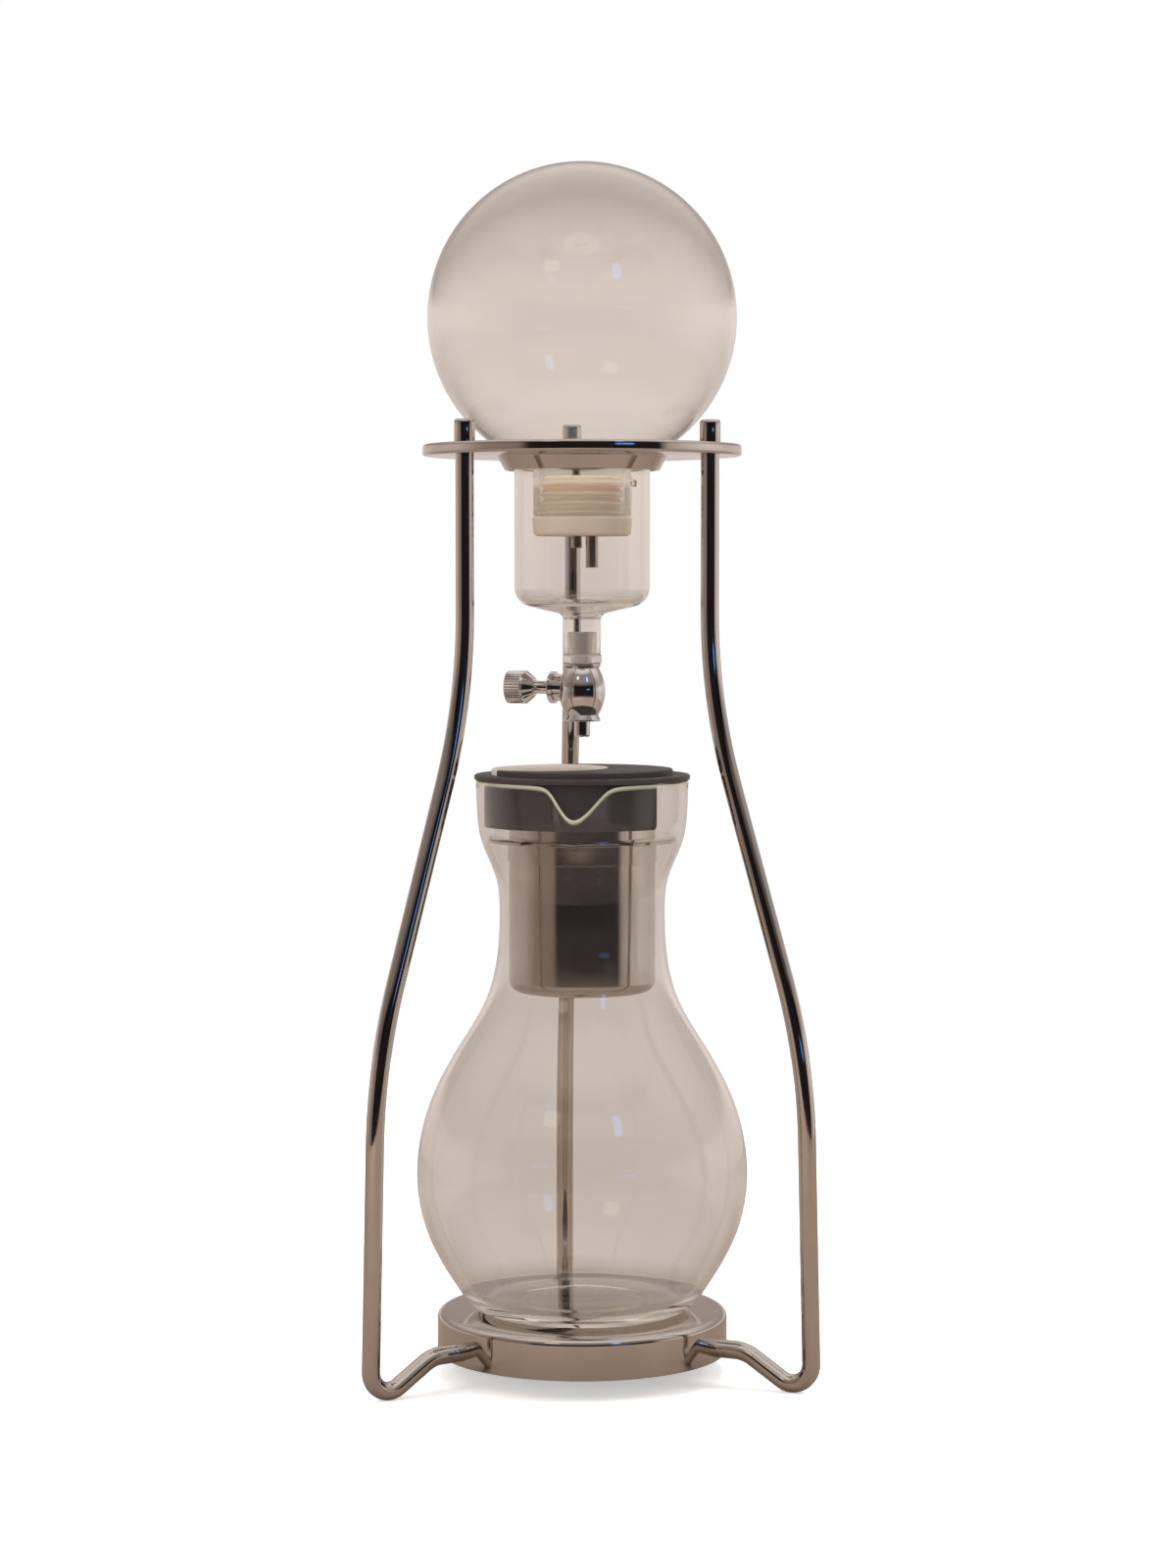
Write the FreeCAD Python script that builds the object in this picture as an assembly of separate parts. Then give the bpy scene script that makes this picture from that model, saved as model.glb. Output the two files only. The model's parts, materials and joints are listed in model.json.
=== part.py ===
import FreeCAD, Part
import math
import os
from FreeCAD import Placement, Rotation, Vector

# Cold drip coffee tower: a wire stand with a glass globe and a drip cup in its ring, a needle tap
# under the cup, and a glass carafe with a strainer basket and a lid on the base.
# Millimetres, +Z up. The origin is on the tower's axis, on the table that the feet stand on.
# The front, where the carafe slides out, is -Y. Angles are in degrees about +Z, from +X.

# Clearances
seat_gap = 0.3        # between pieces that rest on or in each other and lift apart
run_gap = 0.06        # radial, where one piece turns or slides in another
fit_gap = 0.03        # radial, where pieces of one assembly are pressed or screwed together
edge_break = 0.3      # how far a turned edge is rounded
cut_over = 1.0        # how far a cutting shape runs past what it cuts
front_angle = -90.0   # the direction in which the carafe comes out

# Base dish
base_radius = 60.3
base_bottom = 9.0
base_height = 17.0
base_wall = 1.5
base_edge = 3.0
base_foot_edge = 0.5
base_plate_thickness = 2.5

# Legs: bent round rods on a circle
leg_names = ("leg_rear", "leg_left", "leg_right")
rear_leg_angle = 90.0
rod_radius = 3.75
leg_top_circle = 57.3
shoulder_drop = 103.65   # from the ring's top down to the upper bend
knee_height = 136.5
bend_radius = 250.0
foot_circle = 94.2
foot_bend = 8.5
foot_lean = 1.4
rise_angle = 32.0
rise_bend = 15.0
entry_height = 15.0
spacer_length = 4.2
stud_radius = 2.5
stud_length = 11.0
stud_chamfer = 0.5

# Bolts that hold the legs on the base
bolt_radius = 2.0
bolt_reach = 6.5
bolt_head_radius = 3.5
bolt_head_height = 2.6
bolt_head_gap = 0.25     # its flat head against the round inside of the base
bolt_bore_spare = 0.5

# Ring with its cone collar
ring_thickness = 4.65
ring_radius = 65.6
ring_edge = 2.25
ring_opening = 36.5
ring_lip = 1.0
collar_height = 10.45
collar_radius = 30.6
collar_sheet = 1.0
collar_root = 1.0

# Cap nuts
nut_radius = 4.25
nut_height = 9.35
nut_crown = 1.4
nut_wall_top = 1.6

# Water globe
globe_radius = 63.5
globe_wall = 2.0
neck_radius = 20.2
neck_wall = 2.6
neck_length = 18.0       # below the lowest point of the ball
neck_blend = 3.5

# Drip cup
cup_radius = 27.9
cup_wall = 2.0
cup_lip_radius = 33.2
cup_lip_angle = 34.0
cup_lip_bend = 6.0
cup_lip_edge = 0.9
cup_depth = 59.5         # from the lip's seat down to the floor's corner
cup_floor_slope = 13.5
cup_corner = 8.0
outlet_radius = 7.7
outlet_wall = 1.3
outlet_length = 21.1     # below the floor's corner
outlet_edge = 0.4
outlet_blend = 3.0
air_hole_radius = 1.6
air_hole_drop = 10.8     # below the lip's seat
air_hole_angle = -44.5

# Stopper with its two tubes
plug_flange_radius = 20.8
plug_flange_height = 7.7
plug_core_radius = 15.9
plug_flange_taper = 0.8
plug_flange_edge = 2.0
plug_rib_count = 4
plug_rib_pitch = 3.9
plug_rib_start = 1.2
plug_rib_rise = 0.5
plug_rib_land = 0.7
plug_rib_fall = 1.2
plug_end_edge = 0.8
plug_length = 16.8
feed_tube_radius = 2.6
feed_tube_reach = 20.6   # below the neck's end
feed_tube_place = (3.9, -1.4)
air_tube_radius = 2.3
air_tube_reach = 12.5
air_tube_place = (-2.1, 1.9)
tube_wall = 0.4

# Tap sleeve and inlet nipple
sleeve_flange_radius = 8.1
sleeve_flange_height = 4.0
sleeve_length = 9.2
sleeve_edge = 1.0
inlet_radius = 4.0
inlet_height = 13.0
inlet_groove_count = 3
inlet_groove_start = 3.0
inlet_groove_bevel = 0.3
inlet_groove_land = 0.7
inlet_groove_depth = 0.5
inlet_thread_radius = 3.2
inlet_thread_length = 4.0
water_bore = 1.6

# Tap body, a turned barrel
tap_height = 23.7
tap_collar_radius = 7.7
tap_collar_edge = 0.3
tap_collar_taper = 0.1
tap_collar_side = 0.9
tap_waist_radius = 6.9
tap_waist_drop = 1.9
tap_bulb_radius = 9.5
tap_foot_waist = 6.7
tap_foot_radius = 7.6
tap_foot_height = 2.6
tap_foot_edge_height = 0.6
tap_bulb_drop = 9.8
nozzle_radius = 3.3
nozzle_length = 6.5
nozzle_thread_radius = 2.6
nozzle_thread_length = 5.0
nozzle_edge = 0.9
drip_gap = 13.1          # free height from the lid up to the nozzle

# Side valve: distances are from the tower's axis, along the valve's own axis
valve_angle = 157.5
valve_drop = 9.9
boss_radius = 5.5
boss_reach = 11.4
bonnet_radius = 6.6
bonnet_thickness = 2.3
bonnet_thread_radius = 4.0
bonnet_thread_length = 5.2
stem_radius = 2.7
seat_reach = 1.6
seat_radius = 1.0
chamber_radius = 3.2
feed_drill_radius = 1.3
feed_drill_reach = 3.36
needle_tip_radius = 0.5
needle_base_radius = 1.9
needle_length = 3.4
needle_entry = 0.9       # how far the needle's tip stands in the seat when shut
needle_shoulder = 0.6
needle_shoulder_bevel = 0.7
ring_groove_shift = 0.5
spindle_ring_wire = 0.62
knob_start = 20.6
knob_length = 11.8
knob_radius = 6.8
knob_cone_radius = 3.9
knob_cone_length = 3.6
knob_band = 1.0
knob_teeth = 36
knob_tooth_depth = 0.45
knob_tooth_share = 0.72  # of the pitch, at the mouth of a groove
knob_cap = 2.4
knob_end_edge = 0.7
spindle_end_radius = 2.0
spindle_end_gap = 0.1

# Carafe: outer radius at chosen heights above the base top, glass of even thickness
carafe_wall = 2.2
carafe_rim_radius = 44.0
carafe_rim_height = 221.0
carafe_rim_edge = 0.9
carafe_outline = (
    (43.8, 216.5),
    (43.4, 207.0),
    (42.0, 197.0),
    (38.6, 188.0),
    (35.4, 179.5),
    (34.2, 166.0),
    (35.0, 149.0),
    (39.9, 129.4),
    (50.9, 110.3),
    (61.9, 90.0),
    (67.6, 70.0),
    (68.7, 55.0),
    (63.7, 31.0),
    (49.6, 6.5),
)
carafe_heel_radius = 44.0
carafe_heel_bend = 13.0
carafe_foot_inner = 29.5
carafe_floor = 4.0
carafe_floor_crown = 1.0
carafe_floor_bend = 8.0
carafe_punt = 1.6
carafe_punt_slope = 4.0
carafe_punt_bend = 3.0

# Pinched spout of the carafe
spout_angle = -98.5
spout_reach = 51.0
spout_depth = 13.6
spout_root_drop = 7.5
spout_root = 34.0
spout_half_width = 20.0
spout_root_half_width = 15.0
spout_bend = 6.5
spout_shoulder_bend = 5.0
spout_flare = 2.0
spout_root_overlap = 0.5 # of the spout's root with the neck's wall
spout_plan_radius = 29.0

# Strainer basket
basket_radius = 30.4
basket_wall = 0.8
basket_length = 82.0
basket_rise = 19.0       # of its rim above the flange's underside
basket_corner = 5.0
basket_opening = 22.4    # under the strainer floor
floor_gap = 0.2
floor_sheet = 0.8
floor_hole_radius = 1.3
floor_hole_pitch = 5.2
floor_hole_rings = 3
flange_drop = 25.0       # of its underside below the carafe's rim
flange_sheet = 1.3
flange_sleeve = 8.4
flange_sleeve_sheet = 0.6
flange_notch_angle = 31.0
flange_notch_width = 6.0
flange_notch_depth = 4.5
flange_seat_spare = 0.1
flange_edge = 0.5

# Lid
lid_radius = 44.6
lid_sheet = 2.2
skirt_radius = 40.5
skirt_wall = 1.7
skirt_depth = 18.8
skirt_gap_from = -47.5
skirt_gap_to = 33.5
skirt_corner = 2.0
skirt_edge = 0.4
lid_edge = 0.8
lid_under_edge = 0.6
disc_radius = 37.5
disc_thickness = 2.3
disc_edge = 0.6
insert_radius = 28.0
insert_offset = 18.8
insert_angle = 150.3
insert_gap = 0.15
drip_hole_radius = 5.0
drip_collar_wall = 1.4
drip_collar_length = 3.6
slit_width = 1.0
slit_length = 24.0
slit_angle = 111.0

# Places that follow from the sizes above, from the table up
leg_angles = {name: rear_leg_angle + 360.0 * turn / len(leg_names) for turn, name in enumerate(leg_names)}
leg_end_circle = base_radius + spacer_length
base_top = base_bottom + base_height
carafe_bottom = base_top
carafe_rim = carafe_bottom + carafe_rim_height
flange_height = carafe_rim - flange_drop
basket_top = flange_height + basket_rise
basket_bottom = basket_top - basket_length
lid_bottom = carafe_rim
lid_top = lid_bottom + lid_sheet + disc_thickness
skirt_bottom = lid_bottom - skirt_depth
tap_bottom = lid_top + drip_gap + nozzle_length
tap_top = tap_bottom + tap_height
valve_height = tap_top - valve_drop
outlet_bottom = tap_top + sleeve_flange_height
cup_floor_height = outlet_bottom + outlet_length
cup_lip_height = cup_floor_height + cup_depth
cone_slope = (ring_opening - collar_radius) / collar_height
cone_angle = math.atan(cone_slope)
lip_seat_radius = cup_lip_radius + seat_gap / math.cos(cone_angle)
collar_bottom = cup_lip_height - (lip_seat_radius - collar_radius) / cone_slope
ring_top = collar_bottom + collar_height
ring_bottom = ring_top - ring_thickness
shoulder_height = ring_top - shoulder_drop
air_hole_height = cup_lip_height - air_hole_drop
globe_rest = math.sqrt((globe_radius + seat_gap + ring_lip) ** 2 - (ring_opening + ring_lip) ** 2)
globe_centre = ring_top - ring_lip + globe_rest
neck_bottom = globe_centre - globe_radius - neck_length


# Shared shapes

def to_xz(point):
    """A point given as (radius, height)."""
    return Vector(point[0], 0, point[1])


def line(start, end):
    return Part.LineSegment(to_xz(start), to_xz(end)).toShape()


def arc(start, middle, end):
    return Part.Arc(to_xz(start), to_xz(middle), to_xz(end)).toShape()


def rounded(corners, closed=True):
    """Edges through corners (radius, height, rounding), each corner rounded by its own arc."""
    count = len(corners)
    points = [Vector(c[0], 0, c[1]) for c in corners]
    radii = [c[2] if len(c) > 2 else 0.0 for c in corners]
    starts = []
    ends = []
    arcs = []
    for i in range(count):
        here = points[i]
        inner = closed or 0 < i < count - 1
        if not inner or radii[i] <= 0:
            starts.append(here)
            ends.append(here)
            arcs.append(None)
            continue
        back = (points[i - 1] - here).normalize()
        ahead = (points[(i + 1) % count] - here).normalize()
        half_turn = (math.pi - back.getAngle(ahead)) / 2
        reach = radii[i] * math.tan(half_turn)
        bisector = (back + ahead).normalize()
        centre = here + bisector * (radii[i] / math.cos(half_turn))
        starts.append(here + back * reach)
        ends.append(here + ahead * reach)
        arcs.append(Part.Arc(starts[-1], centre - bisector * radii[i], ends[-1]).toShape())
    edges = []
    for i in range(count):
        if arcs[i] is not None:
            edges.append(arcs[i])
        if i == count - 1 and not closed:
            break
        target = starts[(i + 1) % count]
        if (target - ends[i]).Length > 1e-6:
            edges.append(Part.LineSegment(ends[i], target).toShape())
    return edges


def lathe(edges):
    """Turns a closed outline in the XZ plane about the Z axis."""
    face = Part.Face(Part.Wire(Part.__sortEdges__(edges)))
    solid = face.revolve(Vector(0, 0, 0), Vector(0, 0, 1), 360)
    return Part.Solid(solid.Shells[0]) if solid.ShapeType != "Solid" else solid


def turned(corners):
    return lathe(rounded(corners))


def cylinder(radius, bottom, top, place=(0.0, 0.0)):
    return Part.makeCylinder(radius, top - bottom, Vector(place[0], place[1], bottom))


def about_z(shape, angle):
    copy = shape.copy()
    copy.Placement = Placement(Vector(0, 0, 0), Rotation(Vector(0, 0, 1), angle)).multiply(copy.Placement)
    return copy


def along_valve(shape):
    """Lays a piece turned about Z along the side valve's axis: its Z becomes the distance outwards."""
    copy = shape.copy()
    lay = Placement(Vector(0, 0, valve_height), Rotation(Vector(0, 1, 0), 90))
    copy.Placement = Placement(Vector(0, 0, 0), Rotation(Vector(0, 0, 1), valve_angle)).multiply(lay)
    return copy


def along_radius(shape, height, angle):
    """Lays a piece turned about Z along a radius at a height: its Z becomes the distance outwards."""
    copy = shape.copy()
    lay = Placement(Vector(0, 0, height), Rotation(Vector(0, 1, 0), 90))
    copy.Placement = Placement(Vector(0, 0, 0), Rotation(Vector(0, 0, 1), angle)).multiply(lay)
    return copy


def wedge(from_angle, to_angle, radius, bottom, top):
    """A sector of a disc between two angles."""
    rim = []
    for angle in (from_angle, (from_angle + to_angle) / 2, to_angle):
        turn = math.radians(angle)
        rim.append(Vector(radius * math.cos(turn), radius * math.sin(turn), bottom))
    centre = Vector(0, 0, bottom)
    outline = [
        Part.LineSegment(centre, rim[0]).toShape(),
        Part.Arc(*rim).toShape(),
        Part.LineSegment(rim[2], centre).toShape(),
    ]
    return Part.Face(Part.Wire(outline)).extrude(Vector(0, 0, top - bottom))


def export(name, *shapes):
    shape = shapes[0] if len(shapes) == 1 else Part.makeCompound(list(shapes))
    shape.exportStep("parts/" + name + ".step")
    print(name, "solids", len(shape.Solids), "volume", round(shape.Volume, 1), "valid", shape.isValid())


# Base

def make_base_shell():
    inner = base_radius - base_wall
    shell = turned([
        (0, base_top),
        (base_radius, base_top, base_edge),
        (base_radius, base_bottom, base_foot_edge),
        (inner, base_bottom),
        (inner, base_top - base_wall, base_edge - base_wall),
        (0, base_top - base_wall),
    ])
    hole = cylinder(bolt_radius + fit_gap, inner - base_edge, base_radius + cut_over)
    for angle in leg_angles.values():
        shell = shell.cut(along_radius(hole, entry_height, angle))
    return shell


def make_base_plate():
    radius = base_radius - base_wall - fit_gap
    return turned([
        (0, base_bottom),
        (radius, base_bottom),
        (radius, base_bottom + base_plate_thickness, base_foot_edge),
        (0, base_bottom + base_plate_thickness),
    ])


# Legs

def foot_corners():
    """The corners at the foot: where the leg's lower line, the rising line and the entry line meet."""
    lean = math.radians(foot_lean)
    rise = math.radians(rise_angle)
    centre = Vector(foot_circle, 0, rod_radius + foot_bend)
    outward = Vector(math.cos(lean), 0, math.sin(lean))
    under = Vector(-math.sin(rise), 0, -math.cos(rise))
    corner = centre + (outward + under) * (foot_bend / (1 + outward.dot(under)))
    entry = corner.x - (entry_height - corner.z) / math.tan(rise)
    return corner, entry


def leg_path():
    corner, entry = foot_corners()
    knee = corner.x - (knee_height - corner.z) * math.tan(math.radians(foot_lean))
    return rounded([
        (leg_top_circle, ring_bottom),
        (leg_top_circle, shoulder_height, bend_radius),
        (knee, knee_height, bend_radius),
        (corner.x, corner.z, foot_bend),
        (entry, entry_height, rise_bend),
        (leg_end_circle, entry_height),
    ], closed=False)


def make_leg(angle):
    path = Part.Wire(leg_path())
    section = Part.Wire(Part.makeCircle(rod_radius, Vector(leg_top_circle, 0, ring_bottom), Vector(0, 0, 1)))
    rod = path.makePipeShell([section], True, True)
    stud = cylinder(stud_radius, ring_bottom - cut_over, ring_bottom + stud_length, (leg_top_circle, 0))
    stud = stud.makeChamfer(stud_chamfer, [stud.Edges[0]])
    bore_end = leg_end_circle + bolt_reach + bolt_bore_spare
    bore = cylinder(bolt_radius + fit_gap, leg_end_circle - cut_over, bore_end)
    leg = rod.fuse(stud).cut(along_radius(bore, entry_height, 0))
    return about_z(leg, angle)


def make_leg_spacer(angle):
    inside = base_radius - base_edge
    sleeve = cylinder(rod_radius, inside, leg_end_circle)
    sleeve = sleeve.cut(cylinder(bolt_radius + fit_gap, inside - cut_over, leg_end_circle + cut_over))
    return along_radius(sleeve, entry_height, angle).cut(cylinder(base_radius, base_bottom, base_top))


def make_leg_bolt(angle):
    head_end = base_radius - base_wall - bolt_head_gap
    shank = cylinder(bolt_radius, head_end - bolt_head_height / 2, leg_end_circle + bolt_reach)
    head = cylinder(bolt_head_radius, head_end - bolt_head_height, head_end)
    return along_radius(shank.fuse(head), entry_height, angle)


# Ring and cap nuts

def make_ring_plate():
    cone_wall = collar_sheet / math.cos(cone_angle)
    under_radius = collar_radius + cone_wall + cone_slope * (ring_bottom - collar_bottom)
    ring = turned([
        (ring_opening, ring_top, ring_lip),
        (ring_radius, ring_top, ring_edge),
        (ring_radius, ring_bottom, ring_edge),
        (under_radius, ring_bottom, collar_root),
        (collar_radius + cone_wall, collar_bottom, edge_break),
        (collar_radius, collar_bottom, edge_break),
    ])
    hole = cylinder(stud_radius + fit_gap, ring_bottom - cut_over, ring_top + cut_over, (leg_top_circle, 0))
    for angle in leg_angles.values():
        ring = ring.cut(about_z(hole, angle))
    return ring


def make_cap_nut(angle):
    top = ring_top + nut_height
    nut = turned([
        (0, ring_top),
        (nut_radius, ring_top, edge_break),
        (nut_radius, top, nut_crown),
        (0, top),
    ])
    nut = nut.cut(cylinder(stud_radius + fit_gap, ring_top - cut_over, top - nut_wall_top))
    nut.translate(Vector(leg_top_circle, 0, 0))
    return about_z(nut, angle)


# Glass globe

def blend_arc(side_radius, ball_radius, blend):
    """The arc that leads from a vertical side out to the globe's ball: start, middle, end."""
    centre_r = side_radius + blend
    centre_z = globe_centre - math.sqrt((ball_radius + blend) ** 2 - centre_r ** 2)
    to_ball = Vector(-centre_r, 0, globe_centre - centre_z).normalize()
    to_side = Vector(-1, 0, 0)
    centre = Vector(centre_r, 0, centre_z)
    middle = centre + (to_ball + to_side).normalize() * blend
    end = centre + to_ball * blend
    return (side_radius, centre_z), (middle.x, middle.z), (end.x, end.z)


def make_water_globe():
    bore = neck_radius - neck_wall
    ball_in = globe_radius - globe_wall
    out_start, out_middle, out_end = blend_arc(neck_radius, globe_radius, neck_blend)
    in_start, in_middle, in_end = blend_arc(bore, ball_in, neck_blend + globe_wall)
    edge = neck_wall / 2
    return lathe([
        arc((bore, neck_bottom + edge), (bore + edge, neck_bottom), (neck_radius, neck_bottom + edge)),
        line((neck_radius, neck_bottom + edge), out_start),
        arc(out_start, out_middle, out_end),
        arc(out_end, (globe_radius, globe_centre), (0, globe_centre + globe_radius)),
        line((0, globe_centre + globe_radius), (0, globe_centre + ball_in)),
        arc((0, globe_centre + ball_in), (ball_in, globe_centre), in_end),
        arc(in_end, in_middle, in_start),
        line(in_start, (bore, neck_bottom + edge)),
    ])


# Drip cup

def make_drip_cup():
    slope = math.radians(cup_floor_slope)
    flare = math.radians(cup_lip_angle)
    inner = cup_radius - cup_wall
    bore = outlet_radius - outlet_wall
    floor_inner = cup_floor_height - cup_wall * math.tan(slope) + cup_wall / math.cos(slope)
    outlet_drop = (cup_radius - outlet_radius) * math.tan(slope)
    bore_drop = (inner - bore) * math.tan(slope)
    lip_drop = (cup_lip_radius - cup_radius) * math.tan(flare)
    lip_inner_r = cup_lip_radius - cup_wall * math.sin(flare)
    lip_inner_z = cup_lip_height + cup_wall * math.cos(flare)
    flare_inner_z = lip_inner_z - (lip_inner_r - inner) * math.tan(flare)
    cup = turned([
        (outlet_radius, outlet_bottom, outlet_edge),
        (outlet_radius, cup_floor_height - outlet_drop, outlet_blend),
        (cup_radius, cup_floor_height, cup_corner),
        (cup_radius, cup_lip_height - lip_drop, cup_lip_bend),
        (cup_lip_radius, cup_lip_height, cup_lip_edge),
        (lip_inner_r, lip_inner_z, cup_lip_edge),
        (inner, flare_inner_z, cup_lip_bend + cup_wall),
        (inner, floor_inner, cup_corner - cup_wall),
        (bore, floor_inner - bore_drop, outlet_blend + outlet_wall),
        (bore, outlet_bottom, outlet_edge),
    ])
    hole = cylinder(air_hole_radius, cup_radius / 2, cup_radius + cut_over)
    return cup.cut(along_radius(hole, air_hole_height, air_hole_angle))


# Stopper and its tubes

def tube_holes():
    """The two holes through the stopper, over its full length."""
    top = neck_bottom + plug_length + cut_over
    bottom = neck_bottom - plug_flange_height - cut_over
    feed = cylinder(feed_tube_radius + fit_gap, bottom, top, feed_tube_place)
    air = cylinder(air_tube_radius + fit_gap, bottom, top, air_tube_place)
    return feed.fuse(air)


def make_globe_plug():
    top = neck_bottom + plug_length
    rib_radius = neck_radius - neck_wall - seat_gap
    flange_bottom = neck_bottom - plug_flange_height
    corners = [
        (0, flange_bottom),
        (plug_flange_radius - plug_flange_taper, flange_bottom, plug_flange_edge),
        (plug_flange_radius, neck_bottom, 2 * edge_break),
        (plug_core_radius, neck_bottom),
    ]
    for rib in range(plug_rib_count):
        low = neck_bottom + plug_rib_start + rib * plug_rib_pitch
        corners.append((plug_core_radius, low))
        low += plug_rib_rise
        corners.append((rib_radius, low, edge_break))
        low += plug_rib_land
        corners.append((rib_radius, low, edge_break))
        low += plug_rib_fall
        corners.append((plug_core_radius, low))
    corners.append((plug_core_radius, top, plug_end_edge))
    corners.append((0, top))
    return turned(corners).cut(tube_holes())


def make_tube(radius, reach, place):
    """A tube through the stopper, which ends at its reach below the neck."""
    bottom = neck_bottom - reach
    top = neck_bottom + plug_length
    bore = radius - tube_wall
    tube = turned([
        (bore, bottom),
        (radius, bottom, edge_break / 2),
        (radius, top, edge_break / 2),
        (bore, top),
    ])
    tube.translate(Vector(place[0], place[1], 0))
    return tube


# Tap

def make_tap_sleeve():
    insert = outlet_radius - outlet_wall - seat_gap
    top = outlet_bottom + sleeve_length
    bore = inlet_radius + run_gap
    return turned([
        (bore, tap_top),
        (sleeve_flange_radius, tap_top, sleeve_edge),
        (sleeve_flange_radius, outlet_bottom, sleeve_edge),
        (insert, outlet_bottom),
        (insert, top, sleeve_edge),
        (bore, top),
    ])


def make_tap_inlet():
    bottom = tap_top - inlet_thread_length
    top = tap_top + inlet_height
    pitch = (inlet_height - inlet_groove_start) / inlet_groove_count
    groove_radius = inlet_radius - inlet_groove_depth
    corners = [
        (water_bore, bottom),
        (inlet_thread_radius, bottom, edge_break),
        (inlet_thread_radius, tap_top),
        (inlet_radius, tap_top),
    ]
    for groove in range(inlet_groove_count):
        low = tap_top + inlet_groove_start + groove * pitch
        high = low + inlet_groove_land + 2 * inlet_groove_bevel
        corners.append((inlet_radius, low))
        corners.append((groove_radius, low + inlet_groove_bevel))
        corners.append((groove_radius, high - inlet_groove_bevel))
        corners.append((inlet_radius, high))
    corners.append((inlet_radius, top, edge_break))
    corners.append((water_bore, top))
    return turned(corners)


def make_tap_barrel():
    """The barrel's outside: a collar, a waist, one bulging curve, a waist and a foot."""
    collar = (tap_collar_radius - tap_collar_edge, tap_top)
    collar_bend = (tap_collar_radius, tap_top - tap_collar_edge)
    collar_side = (tap_collar_radius - tap_collar_taper, tap_top - tap_collar_side)
    waist = (tap_waist_radius, tap_top - tap_waist_drop)
    bulb = (tap_bulb_radius, tap_top - tap_bulb_drop)
    foot_waist = (tap_foot_waist, tap_bottom + tap_foot_height)
    foot_side = (tap_foot_radius, tap_bottom + tap_foot_edge_height)
    foot = (tap_foot_radius - tap_collar_edge, tap_bottom)
    return lathe([
        line((0, tap_top), collar),
        arc(collar, collar_bend, collar_side),
        line(collar_side, waist),
        arc(waist, bulb, foot_waist),
        line(foot_waist, foot_side),
        line(foot_side, foot),
        line(foot, (0, tap_bottom)),
        line((0, tap_bottom), (0, tap_top)),
    ])


def make_tap_body():
    """Water comes down the inlet's thread and a side drill, past the needle and down to the nozzle."""
    body = make_tap_barrel().fuse(along_valve(cylinder(boss_radius, 0, boss_reach)))
    thread_top = tap_bottom + nozzle_thread_length
    thread_bottom = tap_top - inlet_thread_length
    chamber_end = boss_reach - bonnet_thread_length
    turn = math.radians(valve_angle)
    drill_place = (feed_drill_reach * math.cos(turn), feed_drill_reach * math.sin(turn))
    for hollow in (
        cylinder(inlet_thread_radius + fit_gap, thread_bottom, tap_top + cut_over),
        cylinder(feed_drill_radius, valve_height, thread_bottom + cut_over / 2, drill_place),
        cylinder(seat_radius, thread_top, valve_height),
        cylinder(nozzle_thread_radius + fit_gap, tap_bottom - cut_over, thread_top),
        along_valve(cylinder(seat_radius, 0, seat_reach + cut_over / 2)),
        along_valve(cylinder(chamber_radius, seat_reach, chamber_end)),
        along_valve(cylinder(bonnet_thread_radius + fit_gap, chamber_end, boss_reach + cut_over)),
    ):
        body = body.cut(hollow)
    return body


def make_tap_nozzle():
    bottom = tap_bottom - nozzle_length
    return turned([
        (seat_radius, bottom + edge_break),
        (water_bore, bottom),
        (nozzle_radius, bottom, nozzle_edge),
        (nozzle_radius, tap_bottom),
        (nozzle_thread_radius, tap_bottom),
        (nozzle_thread_radius, tap_bottom + nozzle_thread_length),
        (seat_radius, tap_bottom + nozzle_thread_length),
    ])


def make_tap_bonnet():
    bore = stem_radius + run_gap
    start = boss_reach - bonnet_thread_length
    end = boss_reach + bonnet_thickness
    return along_valve(turned([
        (bore, start),
        (bonnet_thread_radius, start, edge_break),
        (bonnet_thread_radius, boss_reach),
        (bonnet_radius, boss_reach, edge_break),
        (bonnet_radius, end, edge_break),
        (bore, end),
    ]))


def groove_middle():
    """Where the O-ring sits on the spindle, near the middle of the bonnet's guide."""
    return boss_reach - bonnet_thread_length / 2 + ring_groove_shift


def make_spindle():
    tip = seat_reach - needle_entry
    cone_end = tip + needle_length
    shoulder = cone_end + needle_shoulder
    end = knob_start + knob_length - knob_cap - spindle_end_gap
    ring_floor = stem_radius - 2 * spindle_ring_wire - run_gap
    half = spindle_ring_wire + run_gap
    middle = groove_middle()
    return along_valve(turned([
        (0, tip),
        (needle_tip_radius, tip, needle_tip_radius / 5),
        (needle_base_radius, cone_end),
        (needle_base_radius, shoulder),
        (stem_radius, shoulder + needle_shoulder_bevel),
        (stem_radius, middle - half),
        (ring_floor, middle - half),
        (ring_floor, middle + half),
        (stem_radius, middle + half),
        (stem_radius, knob_start),
        (spindle_end_radius, knob_start),
        (spindle_end_radius, end),
        (0, end),
    ]))


def make_spindle_ring():
    ring = Part.makeTorus(stem_radius - spindle_ring_wire, spindle_ring_wire, Vector(0, 0, groove_middle()))
    return along_valve(ring)


def knurl_cutter(angle, start, end):
    """One V groove of the knurled band, along the knob's axis."""
    half = math.pi * knob_radius / knob_teeth * knob_tooth_share
    mouth = knob_radius + knob_tooth_depth / 2
    root = Vector(knob_radius - knob_tooth_depth, 0, start)
    outline = Part.makePolygon([root, Vector(mouth, half, start), Vector(mouth, -half, start), root])
    return about_z(Part.Face(Part.Wire(outline)).extrude(Vector(0, 0, end - start)), angle)


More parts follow.
